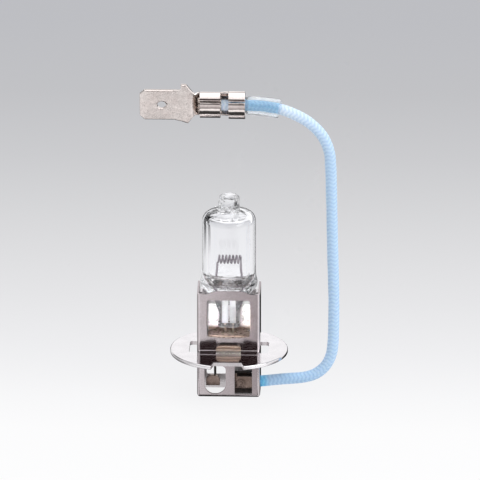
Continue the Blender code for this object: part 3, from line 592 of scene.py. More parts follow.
def envelope_ring(z, half_x, half_y, squareness, sides):
    """A level ring of the glass, pressed in over the web of the pinch and lumpy at the tip."""
    ring = []
    web = smoothstep(19.0, 18.3, z) * smoothstep(13.55, 13.9, z)
    tip = smoothstep(35.5, 36.3, z)
    for i in range(sides):
        angle = 2 * math.pi * (i + 0.5) / sides
        c, s = math.cos(angle), math.sin(angle)
        x = half_x * math.copysign(abs(c) ** (2 / squareness), c)
        y = half_y * math.copysign(abs(s) ** (2 / squareness), s)
        y *= 1 - 0.32 * web * smoothstep(1.6, 1.3, abs(x))
        lump = 0.018 * math.sin(2 * angle + 1.1 * z) + 0.014 * math.sin(3 * angle - 2.3 * z + 0.8)
        lump += 0.016 * math.sin(5 * angle + 3.1 * z + 2.0) + 0.012 * math.sin(7 * angle - 4.4 * z)
        scale = 1 + tip * (lump - 0.02)
        ring.append((x * scale, y * scale, z))
    return ring


def spread_stations(stations, step):
    """Fills in level rings between the given ones, with their sizes in even steps."""
    filled = []
    for (z0, *first), (z1, *second) in zip(stations, stations[1:]):
        count = max(1, math.ceil((z1 - z0) / step))
        for i in range(count):
            share = i / count
            filled.append((z0 + (z1 - z0) * share, *(a + (b - a) * share for a, b in zip(first, second))))
    filled.append(stations[-1])
    return filled


def smooth_stations(stations, passes):
    """Relaxes the sizes so that the outline has no corners; the heights and both ends stay."""
    rows = [list(row) for row in stations]
    for _ in range(passes):
        previous = [row[:] for row in rows]
        for k in range(1, len(rows) - 1):
            for c in range(1, len(rows[k])):
                rows[k][c] = 0.5 * previous[k][c] + 0.25 * (previous[k - 1][c] + previous[k + 1][c])
    return rows


def make_glass(material):
    """The envelope and its hollow. Rows are height, half width, half depth and squareness; 2 is round."""
    sides = 128
    body = [
        (13.3, 1.95, 1.5, 6.0), (13.42, 2.05, 1.6, 6.0), (16.4, 2.05, 1.6, 6.0), (17.6, 2.45, 1.6, 5.0),
        (18.75, 2.9, 1.65, 4.5), (19.4, 3.4, 1.75, 3.6), (19.9, 4.0, 1.9, 3.0), (20.35, 4.6, 2.1, 2.6),
        (20.95, 5.1, 2.34, 2.3), (21.6, 5.35, 3.1, 2.0), (22.3, 5.35, 4.1, 2.0), (23.0, 5.1, 4.75, 2.0),
        (23.9, 5.0, 5.0, 2.0), (33.95, 5.0, 5.0, 2.0),
    ]
    rows = smooth_stations(spread_stations(body, 0.25), 2)
    shoulder_z, full, bend = 33.95, 5.0, 1.75
    for step in range(1, 13):
        angle = math.radians(6.8 * step)
        radius = full - bend + bend * math.cos(angle)
        rows.append([shoulder_z + bend * math.sin(angle), radius, radius, 2.0])
    tip = [
        (35.71, 3.1), (35.73, 2.55), (35.76, 2.25), (35.82, 2.09), (35.95, 2.02), (36.7, 2.0), (37.4, 2.01),
        (38.2, 2.0), (38.5, 1.95), (38.75, 1.8), (38.95, 1.5), (39.08, 1.05), (39.15, 0.3),
    ]
    rows += [[z, radius, radius, 2.0] for z, radius in tip]
    mesh = mesh_from("glass_body", loft([envelope_ring(*row, sides) for row in rows]))
    floor = [
        (22.75, 0.12, 0.1, 2.0), (22.68, 0.6, 0.3, 2.0), (22.45, 1.2, 0.5, 2.0), (22.1, 1.7, 0.62, 2.0),
    ]
    walls = [
        (21.95, 2.3, 0.7, 2.0), (21.98, 2.7, 0.85, 2.0), (22.2, 3.3, 1.3, 2.0), (22.8, 3.8, 2.4, 2.0),
        (23.6, 4.0, 3.6, 2.0), (24.4, 4.0, 4.0, 2.0), (33.9, 4.0, 4.0, 2.0), (34.4, 3.75, 3.75, 2.0),
        (34.75, 3.1, 3.1, 2.0), (34.9, 1.6, 1.6, 2.0), (35.3, 0.7, 0.7, 2.0), (36.2, 0.3, 0.3, 2.0),
    ]
    hollow = floor + smooth_stations(spread_stations(walls, 0.2), 2)
    shell = mesh_from("hollow", loft([envelope_ring(*row, sides) for row in hollow]))
    shell.flip_normals()
    whole = bmesh.new()
    whole.from_mesh(mesh)
    whole.from_mesh(shell)
    bpy.data.meshes.remove(shell)
    whole.to_mesh(mesh)
    whole.free()
    return stand_for(add_object("glass_body", mesh, material, 60.0), "glass_envelope")


# ---------------------------------------------------------------- filament and leads


def add_wire_piece(name, points, radius, material, node, sides=16):
    piece = solid(name, loft(tube_rings(points, radius, sides)), material, SHARP_ANGLE)
    return stand_for(piece, node)


def coil_path():
    """The filament from one lead to the other: leg, coil with its axis along X, leg."""
    centre_z, half, radius, leg = 26.4, 2.1, 0.72, 0.85
    turns = 6.5
    steps = round(turns * 32)
    coil = []
    for i in range(steps + 1):
        share = i / steps
        angle = -math.pi / 2 + 2 * math.pi * turns * share
        across, up = radius * math.cos(angle), radius * math.sin(angle)
        coil.append(Vector((-half + 2 * half * share, across, centre_z + up)))
    end = half + 0.12
    foot = centre_z - leg
    first = smooth_route([(-end, 0.0, foot), (-end, 0.0, centre_z - radius - 0.03), coil[1]], 0.04)
    last = [coil[-2], (end, 0.02, centre_z + 0.5), (end + 0.01, 0.0, centre_z), (end, 0.0, foot)]
    return first[:-1] + coil[1:-2] + smooth_route(last, 0.06)


def make_filament(material):
    return add_wire_piece("filament", coil_path(), 0.16, material, "filament_coil", 10)


def make_leads(inner_material, foil_material, outer_material):
    inner = [
        (2.2, 25.5), (2.26, 24.2), (2.46, 23.0), (2.5, 22.1), (2.2, 21.0), (1.5, 20.0), (0.92, 19.2),
        (0.75, 18.65),
    ]
    ground = [
        (-0.75, 0.0, 13.6), (-0.75, 0.0, 12.8), (-0.76, 0.0, 11.6), (-1.2, 0.0, 10.4), (-2.1, 0.0, 9.4),
        (-2.55, 0.0, 8.2), (-2.6, 0.0, 6.6), (-2.6, 0.0, 3.45),
    ]
    feed_route = [
        (0.75, 0.0, 13.6), (0.75, 0.0, 12.8), (0.75, 0.0, 11.6), (0.75, -0.15, 9.5), (0.75, -0.55, 7.0),
        (0.75, -0.72, 5.4), (0.75, -0.72, 3.97),
    ]
    for hand, label in ((-1, "left"), (1, "right")):
        points = smooth_route([(hand * x, 0.0, z) for x, z in inner], 0.2)
        add_wire_piece(f"inner_lead_{label}", points, 0.21, inner_material, f"lead_in_{label}")
        make_foil(label, foil_material)
    for name, route in (("ground_lead", ground), ("feed_lead", feed_route)):
        points = smooth_route(route, 0.25)
        add_wire_piece(f"outer_{name}", points, 0.225, outer_material, name)


def make_foil(label, material):
    """Thin foil with feathered edges and a slight ripple along its length."""
    low, high = box(f"pinch_foil_{label}")
    centre_x, half = (low.x + high.x) / 2, (high.x - low.x) / 2
    rings = []
    steps = 40
    for k in range(steps + 1):
        z = low.z + (high.z - low.z) * k / steps
        ripple = 0.012 * math.sin(k * 0.9)
        ring = [(centre_x + half * c, ripple + 0.03 * s, z) for c, s in
                ((-1, 0), (-0.5, -0.7), (0, -1), (0.5, -0.7), (1, 0), (0.5, 0.7), (0, 1), (-0.5, 0.7))]
        rings.append(ring)
    piece = solid(f"foil_{label}", loft(rings), material, 60.0)
    return stand_for(piece, f"pinch_foil_{label}")


# ---------------------------------------------------------------- holder


def channel_outline(half_width, closed_y, open_y, sheet, bend, steps=10):
    """Plan of a U-shaped channel whose web is at closed_y and whose legs end at open_y."""
    direction = 1 if open_y > closed_y else -1
    outside = [(-half_width, open_y)]
    inside = [(-half_width + sheet, open_y)]
    for step in range(steps + 1):
        angle = math.radians(90.0 * step / steps)
        for side, radius in ((outside, bend), (inside, bend - sheet)):
            x = -half_width + bend - radius * math.cos(angle)
            side.append((x, closed_y + direction * (bend - radius * math.sin(angle))))
    outside += [(-x, y) for x, y in reversed(outside)]
    inside += [(-x, y) for x, y in reversed(inside)]
    return outside + inside[::-1]


def make_cage_front(material):
    """Front channel: notched rim, lip at the foot, window, lower openings, wire hole and weld seam."""
    low, high = box("cage_front")
    sheet, bend = HOLDER_SHEET, HOLDER_BEND
    half, front = high.x, low.y
    outline = channel_outline(half, front, high.y, sheet, bend)
    piece = solid("holder_front", prism(outline, low.z, high.z, "Z"), material)
    rim = 20.3
    reach = 4.4
    above = [(-half - PAST, rim)]
    for i in range(33):
        x = -reach + 2 * reach * i / 32
        rise = min(1.0, (reach - abs(x)) / 2.4)
        above.append((x, rim + 0.6 * rise * rise * (3 - 2 * rise)))
    above += [(half + PAST, rim), (half + PAST, high.z + PAST), (-half - PAST, high.z + PAST)]
    wall = front + bend
    cut(piece, prism(above, -4.0, wall, "Y"))
    near, far = wall - 0.01, high.y + PAST
    ears = [(near, rim), (far, high.z + 0.1), (far, high.z + PAST), (near, high.z + PAST)]
    across = 7.0
    cut(piece, prism(ears, -across, across, "X"))
    inner = front + sheet
    lip = [(inner - 0.2, 0.0), (-1.9, 0.0), (-1.9, sheet), (inner - 0.2, sheet)]
    join(piece, prism(lip, -5.2, 5.2, "X"))
    chamfer = [
        (0.0, 0.47), (0.012, 0.445), (0.18, 0.035), (0.22, 0.0), (0.22, -0.2), (-0.2, -0.2), (-0.2, 0.47),
    ]
    cut(piece, prism([(front + y, z) for y, z in chamfer], -across, across, "X"))
    near, far = front - PAST, inner + 0.2
    left, right, bottom, top = -4.05, 4.05, 11.9, 19.1
    window = arc((left + 0.5, bottom + 0.5), 0.5, 180, 260, 7)
    for i in range(1, 14):
        window.append((left + (right - left) * i / 14, bottom - 0.25 * math.sin(math.pi * i / 14)))
    window += arc((right - 0.5, bottom + 0.5), 0.5, 280, 360, 7)
    window += arc((right - 0.4, top - 0.4), 0.4, 0, 90, 7)
    window += arc((left + 0.4, top - 0.4), 0.4, 90, 180, 7)
    lower_left = rounded_rectangle(-4.5, -0.53, 0.6, 6.1, [1.9, 1.9, 0.8, 0.3])
    lower_right = rounded_rectangle(1.13, 4.4, 0.6, 6.1, [0.08] * 4, 3)
    for opening in (window, lower_left, lower_right):
        cut(piece, prism(opening, near, far, "Y"))
    for hand in (-1, 1):
        centre = half - bend
        corner = arc((hand * centre, bend), bend, *((0, -90) if hand > 0 else (180, 270)), 8)
        corner += [(hand * centre, -PAST), (hand * (half + PAST), -PAST), (hand * (half + PAST), bend)]
        cut(piece, prism(corner, -4, 4, "Y"))
    cut(piece, prism(circle((0.0, 2.21), WIRE_RADIUS + 0.22, 48), 5, 7, "X"))
    seam = [Vector((x, front + 0.01, 9.2)) for x in (-5.6, -3.0, 0.0, 3.0, 5.6)]
    join(piece, loft(tube_rings(seam, 0.065, 12)))
    soften_edges(piece, 0.06)
    return stand_for(piece, "cage_front")


def make_cage_rear(material):
    """Rear channel, nested in the front one, with two windows low in its wall."""
    low, high = box("cage_rear")
    sheet, bend = HOLDER_SHEET, HOLDER_BEND
    half, back = high.x, high.y
    outline = channel_outline(half, back, low.y, sheet, bend)
    piece = solid("holder_rear", prism(outline, low.z, high.z, "Z"), material)
    for hand in (-1, 1):
        near, far = sorted((hand * (half - bend), hand * (half + PAST)))
        below = [(near, low.y - PAST), (far, low.y - PAST), (far, back - bend), (near, back - bend)]
        cut(piece, prism(below, -PAST, 4.2, "Z"))
        near, far = sorted((hand * 0.6, hand * 4.3))
        bottom = 2.7 if hand < 0 else 4.3
        window = rounded_rectangle(near, far, bottom, 7.4, [0.3, 0.3, 0.8, 0.8])
        cut(piece, prism(window, back - sheet - 0.2, back + PAST, "Y"))
    soften_edges(piece, 0.05)
    return stand_for(piece, "cage_rear")


def make_bracket(material):
    """Shelf at the foot of the pinch, turned up at the rear wall, with holes for the two leads."""
    low, high = box("pinch_bracket")
    back, sheet, top = high.y, 0.35, 12.0
    section = [(low.y, top - sheet), (low.y, top), (back - sheet - 0.3, top)]
    section += arc((back - sheet - 0.3, top + 0.3), 0.3, 270, 360, 6)[1:]
    section += [(back - sheet, high.z), (back, high.z)]
    section += arc((back - 0.55, top - sheet + 0.55), 0.55, 0, -90, 8)
    piece = solid("pinch_shelf", prism(section, low.x, high.x, "X"), material)
    for hand in (-1, 1):
        taper = [(hand * 4.4, 0.2), (hand * 3.9, 0.2), (hand * 2.6, back - 0.6)]
        taper += [(hand * 2.6, back - sheet - 0.05), (hand * 4.4, back - sheet - 0.05)]
        cut(piece, prism(taper, top - PAST, top + 0.2, "Z"))
        cut(piece, prism(circle((hand * 0.75, 0.0), 0.5, 32), top - PAST, top + PAST, "Z"))
    soften_edges(piece, 0.04)
    return stand_for(piece, "pinch_bracket")


def make_flange(material, tab_material):
    """Notched disc with a slot for the holder and two weld tabs turned up beside it."""
    low, high = box("flange_disc")
    bottom = low.z
    top = bottom + 0.7
    radius = high.x
    rim = 0.25
    profile = [(radius - 0.05, bottom), (radius, bottom + 0.05)]
    profile += arc((radius - rim, top - rim), rim, 0, 90, 6)
    blank = loft([[(x, y, z) for x, y in circle((0.0, 0.0), size, 192)] for size, z in profile])
    piece = solid("flange", blank, material)
    notch = [(-2.6, -8.5), (2.6, -8.5), (3.4, -12), (-3.4, -12)]
    cut(piece, prism(notch, bottom - PAST, top + PAST, "Z"))
    slot = rounded_rectangle(-7.4, 7.4, -2.88, 3.4, [0.5] * 4, 6)
    cut(piece, prism(slot, bottom - PAST, top + PAST, "Z"))
    for side in (-1, 1):
        near = side * 2.9
        far = near + side * 0.6
        bend = 0.55
        section = [(near, bottom + 0.05), (near, 10.6), (far, 10.6)]
        section += [(far + side * (bend + u), top + bend + v) for u, v in arc((0.0, 0.0), bend, 180, 270, 8)]
        section += [(far + side * bend, bottom + 0.35), (near + side * 0.1, bottom + 0.05)]
        join(piece, prism(section, -2.3, 2.3, "X"))
        for hand in (-1, 1):
            corner = [(hand * 3.3, 11.6), (hand * 0.6, 11.6), (hand * 3.3, 8.9)]
            cut(piece, prism(corner, *sorted((side * 2.85, side * 4.5)), "Y"))
    soften_edges(piece, 0.05, 3)
    piece.data.materials.append(tab_material)
    for face in piece.data.polygons:
        middle = face.center / MM
        if 2.9 <= abs(middle.y) <= 4.1 and middle.z > top + 0.1 and abs(middle.x) < 2.35:
            face.material_index = 1
    return stand_for(piece, "flange_disc")


def make_ground_strap(material):
    """Rounded lug that holds the ground lead, with a foot that runs back to the rear wall."""
    low, high = box("ground_strap")
    back = high.y
    section = [(low.y, low.z), (back, low.z), (back, 2.5), (back - 0.35, 2.5), (back - 0.35, 1.85)]
    section += [(0.5, 1.85), (0.5, 3.4), (low.y, 3.4)]
    piece = solid("ground_lug", prism(section, low.x, high.x, "X"), material)
    for hand in (-1, 1):
        edge = (low.x + high.x) / 2 + hand * 1.3
        corner = arc((edge - hand * 1.1, 2.3), 1.1, 0 if hand > 0 else 180, 90, 10)
        corner += [(edge - hand * 1.1, 4.4), (edge + hand * PAST, 4.4), (edge + hand * PAST, 2.3)]
        cut(piece, prism(corner, -PAST, PAST, "Y"))
        near, far = sorted(((low.x + high.x) / 2 + hand * 0.65, edge + hand * PAST))
        beside_arm = [(near, 0.5), (far, 0.5), (far, back + PAST), (near, back + PAST)]
        cut(piece, prism(beside_arm, 0.4, 3.4, "Z"))
    soften_edges(piece, 0.08, 3)
    return stand_for(piece, "ground_strap")


def make_feed_plate(material):
    """Stepped strip with the ringed mark of its weld."""
    front, rear = -0.92, -0.56
    outline = [
        (1.2, 1.05), (4.5, 1.05), (4.5, 3.4), (1.5, 3.4), (1.5, 3.9), (0.3, 3.9), (0.3, 2.7), (1.2, 2.7),
    ]
    piece = solid("feed_strip", prism(outline, front, rear, "Y"), material)
    centre = (2.25, 2.1)
    for radius, height in ((0.85, 0.1), (0.42, 0.2)):
        join(piece, prism(circle(centre, radius, 40), front - height, front + 0.1, "Y"))
    cut(piece, prism(circle(centre, 0.66, 40), front - 0.2, front - 0.02, "Y"))
    join(piece, prism(circle(centre, 0.36, 40), front - 0.17, front + 0.1, "Y"))
    soften_edges(piece, 0.04)
    return stand_for(piece, "feed_plate")


def make_feed_insulator(material):
    low, high = box("feed_insulator")
    # Painted shade: the low front step reaches forward under the feed plate and down to the floor, near-black
    # where only shade falls; the rest is the insulator itself.
    section = [(-0.95, 0.05), (1.7, 0.05), (1.7, 3.6), (0.62, 3.6), (0.62, 0.98), (-0.95, 0.98)]
    piece = solid("feed_block", prism(section, low.x, high.x, "X"), material)
    soften_edges(piece, 0.1, 3)
    return stand_for(piece, "feed_insulator")


# ---------------------------------------------------------------- lead wire, sleeve and terminal


def braid_height(around, along, carriers=8):
    """Height of the braid's surface from 0 to 1, where two families of yarns cross over and under."""
    first = carriers * around + along
    second = carriers * around - along
    over = math.sin(math.pi * first / 2) * math.sin(math.pi * second / 2)
    ridge_a = abs(math.sin(math.pi * second / 2 + math.pi / 4))
    ridge_b = abs(math.sin(math.pi * first / 2 + math.pi / 4))
    top = ridge_a if over > 0 else ridge_b
    return min(1.0, 0.25 + 0.75 * top * (0.55 + 0.45 * abs(over) ** 0.5))


def make_wire(material):
    """The braided lead: a tube whose surface follows the crossing yarns."""
    spacing = 0.065
    route = smooth_route([(x, 0.0, z) for x, z in WIRE_ROUTE], spacing)
    sides = 48
    pitch = 0.38
    relief = 0.05
    rings, crowns, tones = [], [], []
    for k, (point, (side, up)) in enumerate(zip(route, frames_along(route))):
        ring = []
        distance = k * spacing
        swell = 1 + 0.008 * math.sin(distance * 0.4) + 0.008 * math.sin(distance * 1.06 + 1.0)
        # Painted light: tone 0 gives deep blue as painted shade inside the holder and under the sleeve,
        # rising to a pale painted sheen up the wire and over its top bend.
        tone = DEEP_UP_TO * smoothstep(1.6, 3.2, distance) + 0.15 * smoothstep(8.0, 16.0, distance)
        tone += 0.73 * smoothstep(52.0, 80.0, distance)
        if point.z > SLEEVED_ABOVE:
            tone = min(tone, 0.05 + 0.95 * smoothstep(9.0, 10.2, point.x))
            tone = max(tone, 0.85 * smoothstep(3.3, 2.5, point.x))
        for i in range(sides):
            # The yarn height also drives painted shade in the colour: darker in the grooves between yarns.
            height = braid_height(i / sides, distance / pitch)
            radius = (WIRE_RADIUS - relief * (1 - height)) * swell
            angle = 2 * math.pi * i / sides
            ring.append(point + side * radius * math.cos(angle) + up * radius * math.sin(angle))
            crowns.append(height)
            tones.append(tone)
        rings.append(ring)
    mesh = mesh_from("braided_lead", loft(rings))
    for name, values in (("crown", crowns), ("tone", tones)):
        layer = mesh.attributes.new(name, "FLOAT", "POINT")
        layer.data.foreach_set("value", values)
    piece = stand_for(add_object("braided_lead", mesh, material, 80.0), "lead_wire")
    return piece, route


def make_sleeve(route, material):
    """Clear sleeve over the wire: a loose tube that narrows where the grip holds it, with rounded lips."""
    low, high = 0.1, 9.5
    stretch = [p for p in route if low <= p.x <= high and p.z > SLEEVED_ABOVE][::3]
    last = len(stretch) - 1
    gripped = [smoothstep(3.9, 3.0, p.x) for p in stretch]

    def outer(share):
        held = gripped[round(share * last)]
        bead = smoothstep(0.02, 0.05, share) * smoothstep(0.09, 0.06, share)
        lip = 1 - 0.04 * smoothstep(0.03, 0.0, share) + 0.02 * bead
        return (1.73 + (1.55 - 1.73) * held + 0.02 * math.sin(share * 9.0)) * lip

    def inner(share):
        held = gripped[round(share * last)]
        return 1.42 + (1.2 - 1.42) * held + 0.02 * math.sin(share * 11.0 + 1.0)

    rings = tube_rings(stretch, outer, 56) + tube_rings(stretch, inner, 56)[::-1]
    piece = solid("sleeve", loft(rings, closed_tube=True), material, 60.0)
    return stand_for(piece, "clear_sleeve")


def strip_section(x, low, high, thickness, roll, wrap, size, across=72):
    """One section of the terminal's strip, with rounded edges: a flat bar that rolls into an oval barrel."""
    half_up, half_out = size
    middle = []
    for i in range(across + 1):
        share = i / across
        flat = Vector((0.0, low + (high - low) * share))
        angle = math.radians(wrap[0] + (wrap[1] - wrap[0]) * share)
        rolled = Vector((half_out * math.cos(angle), half_up * math.sin(angle)))
        middle.append(flat.lerp(rolled, roll))
    outer, inner = [], []
    rounding = 0.07
    for i, point in enumerate(middle):
        along = (middle[min(i + 1, across)] - middle[max(i - 1, 0)]).normalized()
        outward = Vector((along.y, -along.x))
        half = thickness / 2 - (rounding if i in (0, across) else 0.0)
        outer.append(point + outward * half)
        inner.append(point - outward * half)
    return [(x, p.x, p.y) for p in outer + inner[::-1]]


def terminal_stations():
    """Position, lower and upper edge, thickness, roll, wrap and barrel size, in millimetres and degrees."""
    flat, closed = (-80.0, 80.0), (-214.0, 138.0)
    wire_size, grip_size = (2.42, 1.65), (2.55, 1.9)
    tab = [(-16.6, 2.35, 0.3), (-16.55, 2.4, 0.36), (-15.75, 3.12, 0.76), (-15.65, 3.15, 0.8)]
    tab += [(x / 10, 3.15, 0.8) for x in range(-150, -99, 3)]
    shoulders = [
        (-8.95, -3.5, 3.15, 0.8, 0.0), (-8.9, -3.51, 4.35, 0.8, 0.0), (-8.82, -3.53, 4.4, 0.8, 0.0),
        (-8.0, -3.84, 4.4, 0.8, 0.0), (-7.9, -3.88, 4.32, 0.8, 0.0), (-7.65, -3.95, 4.0, 0.78, 0.0),
        (-7.55, -3.85, 3.87, 0.77, 0.0), (-7.2, -3.3, 3.35, 0.7, 0.0),
    ]
    neck = [
        (-6.8, -2.8, 2.85, 0.6, 0.03), (-6.55, -2.5, 2.55, 0.52, 0.1), (-6.3, -2.35, 2.35, 0.45, 0.25),
        (-6.1, -2.3, 2.3, 0.42, 0.45), (-5.85, -2.3, 2.3, 0.4, 0.7), (-5.45, -2.3, 2.3, 0.4, 1.0),
    ]
    barrels = [
        (-5.38, 0.4, closed, wire_size), (-1.6, 0.4, closed, wire_size), (-1.53, 0.4, flat, wire_size),
        (-0.1, 0.4, flat, grip_size), (-0.03, 0.4, closed, grip_size), (2.95, 0.4, closed, grip_size),
        (3.0, 0.32, closed, grip_size),
    ]
    stations = [(x, -half, half, thickness, 0.0, flat, wire_size) for x, half, thickness in tab]
    stations += [(*row, flat, wire_size) for row in shoulders + neck]
    stations += [(x, 0.0, 0.0, thickness, 1.0, wrap, size) for x, thickness, wrap, size in barrels]
    return stations


def roll_into_place(piece):
    """From the terminal's own frame to its place: turned about its length and lifted to its height."""
    piece.rotation_euler = (math.radians(TERMINAL_ROLL), 0.0, 0.0)
    piece.location = (0.0, 0.0, TERMINAL_Z * MM)
    bpy.context.view_layer.update()
    piece.data.transform(piece.matrix_world)
    piece.matrix_world.identity()


def make_terminal(material):
    rings = [strip_section(*station) for station in terminal_stations()]
    piece = solid("terminal", loft(rings), material)
    soften_edges(piece, 0.05, 2, SHARP_ANGLE)
    flare = TAB_HOLE_RADIUS + 0.4
    hole = [(-0.6, flare), (-0.3, TAB_HOLE_RADIUS), (0.3, TAB_HOLE_RADIUS), (0.6, flare)]
    rings = [[(x, depth, z) for x, z in circle((TAB_HOLE_X, 0.0), radius, 64)] for depth, radius in hole]
    cut(piece, loft(rings))
    weight_normals(piece)
    roll_into_place(piece)
    return stand_for(piece, "spade_terminal")


def make_strands(name, start, end, radius_y, radius_z, count, material, node):
    """A bundle of fine strands laid up with a slow twist, as one piece."""
    bm = bmesh.new()
    golden = math.pi * (3 - math.sqrt(5))
    thin = 0.92 * math.sqrt(radius_y * radius_z / count)
    for n in range(count):
        spread = 0.86 * math.sqrt((n + 0.5) / count)
        points = []
        for k in range(13):
            share = k / 12
            angle = n * golden + 0.9 * share
            points.append(Vector((
                start + (end - start) * share,
                radius_y * spread * math.cos(angle),
                radius_z * spread * math.sin(angle),
            )))
        loft(tube_rings(points, thin, 8), bm=bm)
    piece = solid(name, bm, material, SHARP_ANGLE)
    if node == "conductor_tip":
        roll_into_place(piece)
    else:
        piece.data.transform(Matrix.Translation((0.0, 0.0, WIRE_ROUTE[0][1] * MM)))
    return stand_for(piece, node)


# ---------------------------------------------------------------- stage, light and camera


def bare_material(name):
    """A material without a shader yet: itself, its node tree and the socket that takes a surface."""
    material, tree, shader = new_material(name)
    tree.nodes.remove(shader)
    output = next(n for n in tree.nodes if n.type == "OUTPUT_MATERIAL")
    return material, tree, output.inputs["Surface"]


def add_grid(name, columns, rows, size, material):
    """A flat square of faces for the stage, level and about the origin."""
    bm = bmesh.new()
    bmesh.ops.create_grid(bm, x_segments=columns, y_segments=rows, size=size)
    mesh = bpy.data.meshes.new(name)
    bm.to_mesh(mesh)
    bm.free()
    mesh.materials.append(material)
    sheet = bpy.data.objects.new(name, mesh)
    bpy.context.scene.collection.objects.link(sheet)
    return sheet


def make_floor():
    """Wide pale floor with painted light: it glows, brightest near the lamp and greyer far behind it as
    painted falloff.
    """
    material, tree, surface = bare_material("floor_paper")
    place = split_vector(add_node(tree, "TexCoord").outputs["Object"])
    # Painted light: colour that darkens towards the back, and a glow that is a little stronger through glass.
    tone = ramp(map_range(place["Y"], *FLOOR_FADE), FLOOR_PAINTED_FALLOFF_TONES)
    through_glass = add_node(tree, "LightPath").outputs["Is Transmission Ray"]
    glow = add_node(tree, "Emission")
    feed(glow, "Strength", map_range(through_glass, 0.0, 1.0, FLOOR_PAINTED_GLOW, FLOOR_PAINTED_GLOW_THROUGH_GLASS))
    feed(glow, "Color", tone)
    diffuse = add_node(tree, "BsdfDiffuse")
    feed(diffuse, "Color", mix_colour(1 - FLOOR_MATT, tone, (0.0, 0.0, 0.0)))
    total = add_node(tree, "AddShader")
    put(total.inputs[0], glow.outputs[0])
    put(total.inputs[1], diffuse.outputs[0])
    put(surface, total.outputs[0])
    floor = add_grid("floor", 8, 8, 4.0, material)
    floor.location.z = -FLOOR_DROP
    floor.visible_glossy = False


def make_dark_card():
    """A black card beside the lamp that only clear pieces show, so that their walls get dark lines."""
    material, tree, surface = bare_material("card_black")
    place = split_vector(add_node(tree, "TexCoord").outputs["Object"])
    glow = add_node(tree, "Emission")
    feed(glow, "Color", CARD_BLACK)
    clear = add_node(tree, "BsdfTransparent")
    blend = add_node(tree, "MixShader")
    feed(blend, "Fac", map_range(place["Y"], *CARD_FADE))
    put(blend.inputs[1], clear.outputs[0])
    put(blend.inputs[2], glow.outputs[0])
    put(surface, blend.outputs[0])
    card = add_grid("dark_card", 2, 12, 0.5, material)
    azimuth = math.radians(CARD_AZIMUTH)
    card.location = (CARD_DISTANCE * math.sin(azimuth), -CARD_DISTANCE * math.cos(azimuth), CARD_CENTRE_Z)
    card.rotation_euler = (math.radians(90), 0.0, azimuth)
    card.scale = (CARD_WIDTH, CARD_HEIGHT, 1.0)
    for kind in ("camera", "diffuse", "glossy", "shadow", "volume_scatter"):
        setattr(card, f"visible_{kind}", False)


def tone_ramp(value, stops):
    """Ramp over the sine of the elevation; stops are (elevation in degrees, brightness)."""
    return ramp(value, [
        ((1 + math.sin(math.radians(degrees))) / 2, (tone, tone, tone * 1.015)) for degrees, tone in stops
    ])


def make_world():
    """The studio around the lamp: its tones by elevation and side, and the dark places in it."""
    world = bpy.data.worlds.new("studio")
    bpy.context.scene.world = world
    world.use_nodes = True
    tree = world.node_tree
    direction = add_node(tree, "TexCoord").outputs["Generated"]
    towards = split_vector(direction)
    upright = map_range(towards["Z"], -1.0, 1.0)
    behind = map_range(towards["Y"], -0.2, 0.2)
    colour = mix_colour(behind, tone_ramp(upright, FRONT_TONES), tone_ramp(upright, REAR_TONES))
    across = map_range(towards["X"], -1.0, 1.0)
    sides = ramp(across, [(position, (tone, tone, tone)) for position, tone in SIDE_TONES])
    colour = mix_colour(1.0, colour, sides, "MULTIPLY")
    for centre, inner, outer, tone in DARK_PLACES:
        dot = add_node(tree, "VectorMath", operation="DOT_PRODUCT")
        put(dot.inputs[0], direction)
        dot.inputs[1].default_value = Vector(centre).normalized()
        inside = map_range(dot.outputs["Value"], *(math.cos(math.radians(a)) for a in (outer, inner)))
        colour = mix_colour(inside, colour, tone)
    background = tree.nodes["Background"]
    feed(background, "Color", colour)
    feed(background, "Strength", 1.0)


def add_area(name, location, target, size, power, spread=180.0):
    light = bpy.data.lights.new(name, "AREA")
    light.shape = "RECTANGLE"
    light.size, light.size_y = size
    light.energy = power
    light.spread = math.radians(spread)
    lamp = bpy.data.objects.new(name, light)
    lamp.location = location
    lamp.rotation_mode = "QUATERNION"
    lamp.rotation_quaternion = (Vector(target) - Vector(location)).to_track_quat("-Z", "Y")
    lamp.visible_glossy = spread > 90.0
    bpy.context.scene.collection.objects.link(lamp)


def make_camera():
    data = bpy.data.cameras.new("camera")
    data.lens = VIEW_LENS
    data.sensor_width = 36.0
    data.clip_start = 0.01
    data.clip_end = 20.0
    camera = bpy.data.objects.new("camera", data)
    azimuth, elevation = math.radians(VIEW_AZIMUTH), math.radians(VIEW_ELEVATION)
    back = Vector((
        math.sin(azimuth) * math.cos(elevation), -math.cos(azimuth) * math.cos(elevation), math.sin(elevation)
    ))
    camera.location = VIEW_TARGET + back * VIEW_DISTANCE
    camera.rotation_mode = "QUATERNION"
    camera.rotation_quaternion = (-back).to_track_quat("-Z", "Y")
    bpy.context.scene.collection.objects.link(camera)
    bpy.context.scene.camera = camera


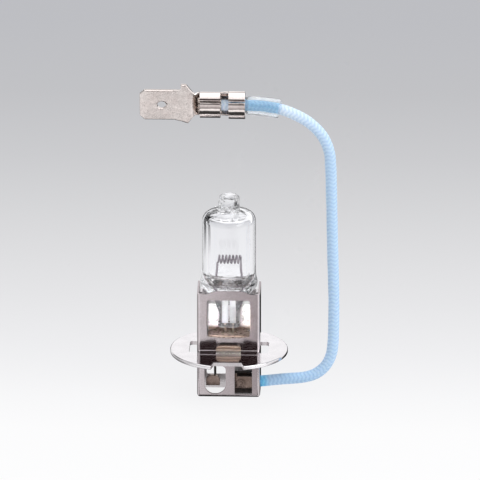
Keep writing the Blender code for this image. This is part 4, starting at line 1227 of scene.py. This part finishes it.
def main():
    make_camera()
    bpy.context.scene.view_settings.view_transform = "Standard"

    nickel = sheet_metal(
        "nickel_plate", (0.58, 0.53, 0.54), (0.66, 0.61, 0.62), 0.07, 0.16, crown=PANEL_CROWN,
    )
    # Painted light: the rear wall gets a brighter, half-matt copy of the nickel plating, so that the shade
    # inside the holder reads bright.
    rear_nickel_lit_copy = sheet_metal(
        "rear_plate_lit_copy", (0.86, 0.83, 0.84), (0.96, 0.93, 0.94), 0.18, 0.3, metallic=0.5, crown=PANEL_CROWN,
    )
    flange_nickel = sheet_metal("flange_plate", (0.78, 0.76, 0.77), (0.86, 0.84, 0.85), 0.07, 0.16)
    # Painted light: the shelf gets the same brighter, half-matt copy of the nickel plating; it is also tinted
    # brown at its foot.
    shelf_metal_lit_copy = sheet_metal(
        "shelf_metal_lit_copy", (0.86, 0.82, 0.83), (0.96, 0.92, 0.93), 0.2, 0.4, metallic=0.45, crown=PANEL_CROWN,
        tinted=((0.34, 0.25, 0.21), 12.15, 12.7),
    )
    weld_tab = weld_tab_metal("weld_tab", 8.7, 10.7)
    tin = sheet_metal(
        "tinned_strip", (0.86, 0.77, 0.73), (0.95, 0.88, 0.84), 0.18, 0.3, (1.0, 0.3, 1.0), 0.03, 0.08,
        burnished=(-6.2, -5.4),
    )
    heat_tint = sheet_metal("heat_tinted_strip", (0.22, 0.16, 0.13), (0.42, 0.33, 0.29), 0.2, 0.4, wave=0.2)
    quartz = clear_glass("quartz")
    sleeve_plastic = clear_plastic("sleeve_plastic")
    tungsten = drawn_wire("tungsten_wire", (0.24, 0.21, 0.24), (0.42, 0.38, 0.42), 0.35)
    foil = drawn_wire("molybdenum_foil", (0.86, 0.86, 0.88), (0.98, 0.98, 0.99), 0.5, metallic=0.3)
    oxide = drawn_wire(
        "oxidised_wire", (0.02, 0.018, 0.018), (0.08, 0.07, 0.065), 0.4, pale_above=(11.0, 12.4),
    )
    copper = drawn_wire("tinned_strands", (0.60, 0.50, 0.44), (0.82, 0.76, 0.72), 0.3)
    # Near-black: the insulator's own colour, and painted shade on its low front step.
    block = moulded("insulator_block", (0.012, 0.008, 0.007), (0.05, 0.034, 0.028))
    braid = braided_glass("glass_braid")

    lead, route = make_wire(braid)
    terminal = make_terminal(tin)
    sleeve = make_sleeve(route, sleeve_plastic)
    tip = make_strands("strands_tip", -5.75, -1.45, 1.2, 1.8, 19, copper, "conductor_tip")
    make_strands("strands_core", 4.75, 2.6, 0.5, 0.5, 12, copper, "conductor_core")

    make_cage_front(nickel)
    make_cage_rear(rear_nickel_lit_copy)
    make_bracket(shelf_metal_lit_copy)
    make_flange(flange_nickel, weld_tab)
    make_ground_strap(heat_tint)
    make_feed_plate(heat_tint)
    make_feed_insulator(block)
    make_glass(quartz)
    make_filament(tungsten)
    make_leads(tungsten, foil, oxide)

    make_floor()
    make_dark_card()
    make_world()
    add_area("key", (0.38, -0.20, 0.35), (0.0, 0.0, 0.03), (0.3, 0.3), 0.9)
    add_area("top", (-0.05, 0.1, 0.6), (0.0, 0.0, 0.02), (0.5, 0.5), 0.5)
    add_area("window_fill", (-0.02, -0.4, 0.07), (0.0, 0.0, 0.0162), (0.014, 0.014), 0.0032, 2.2)


main()
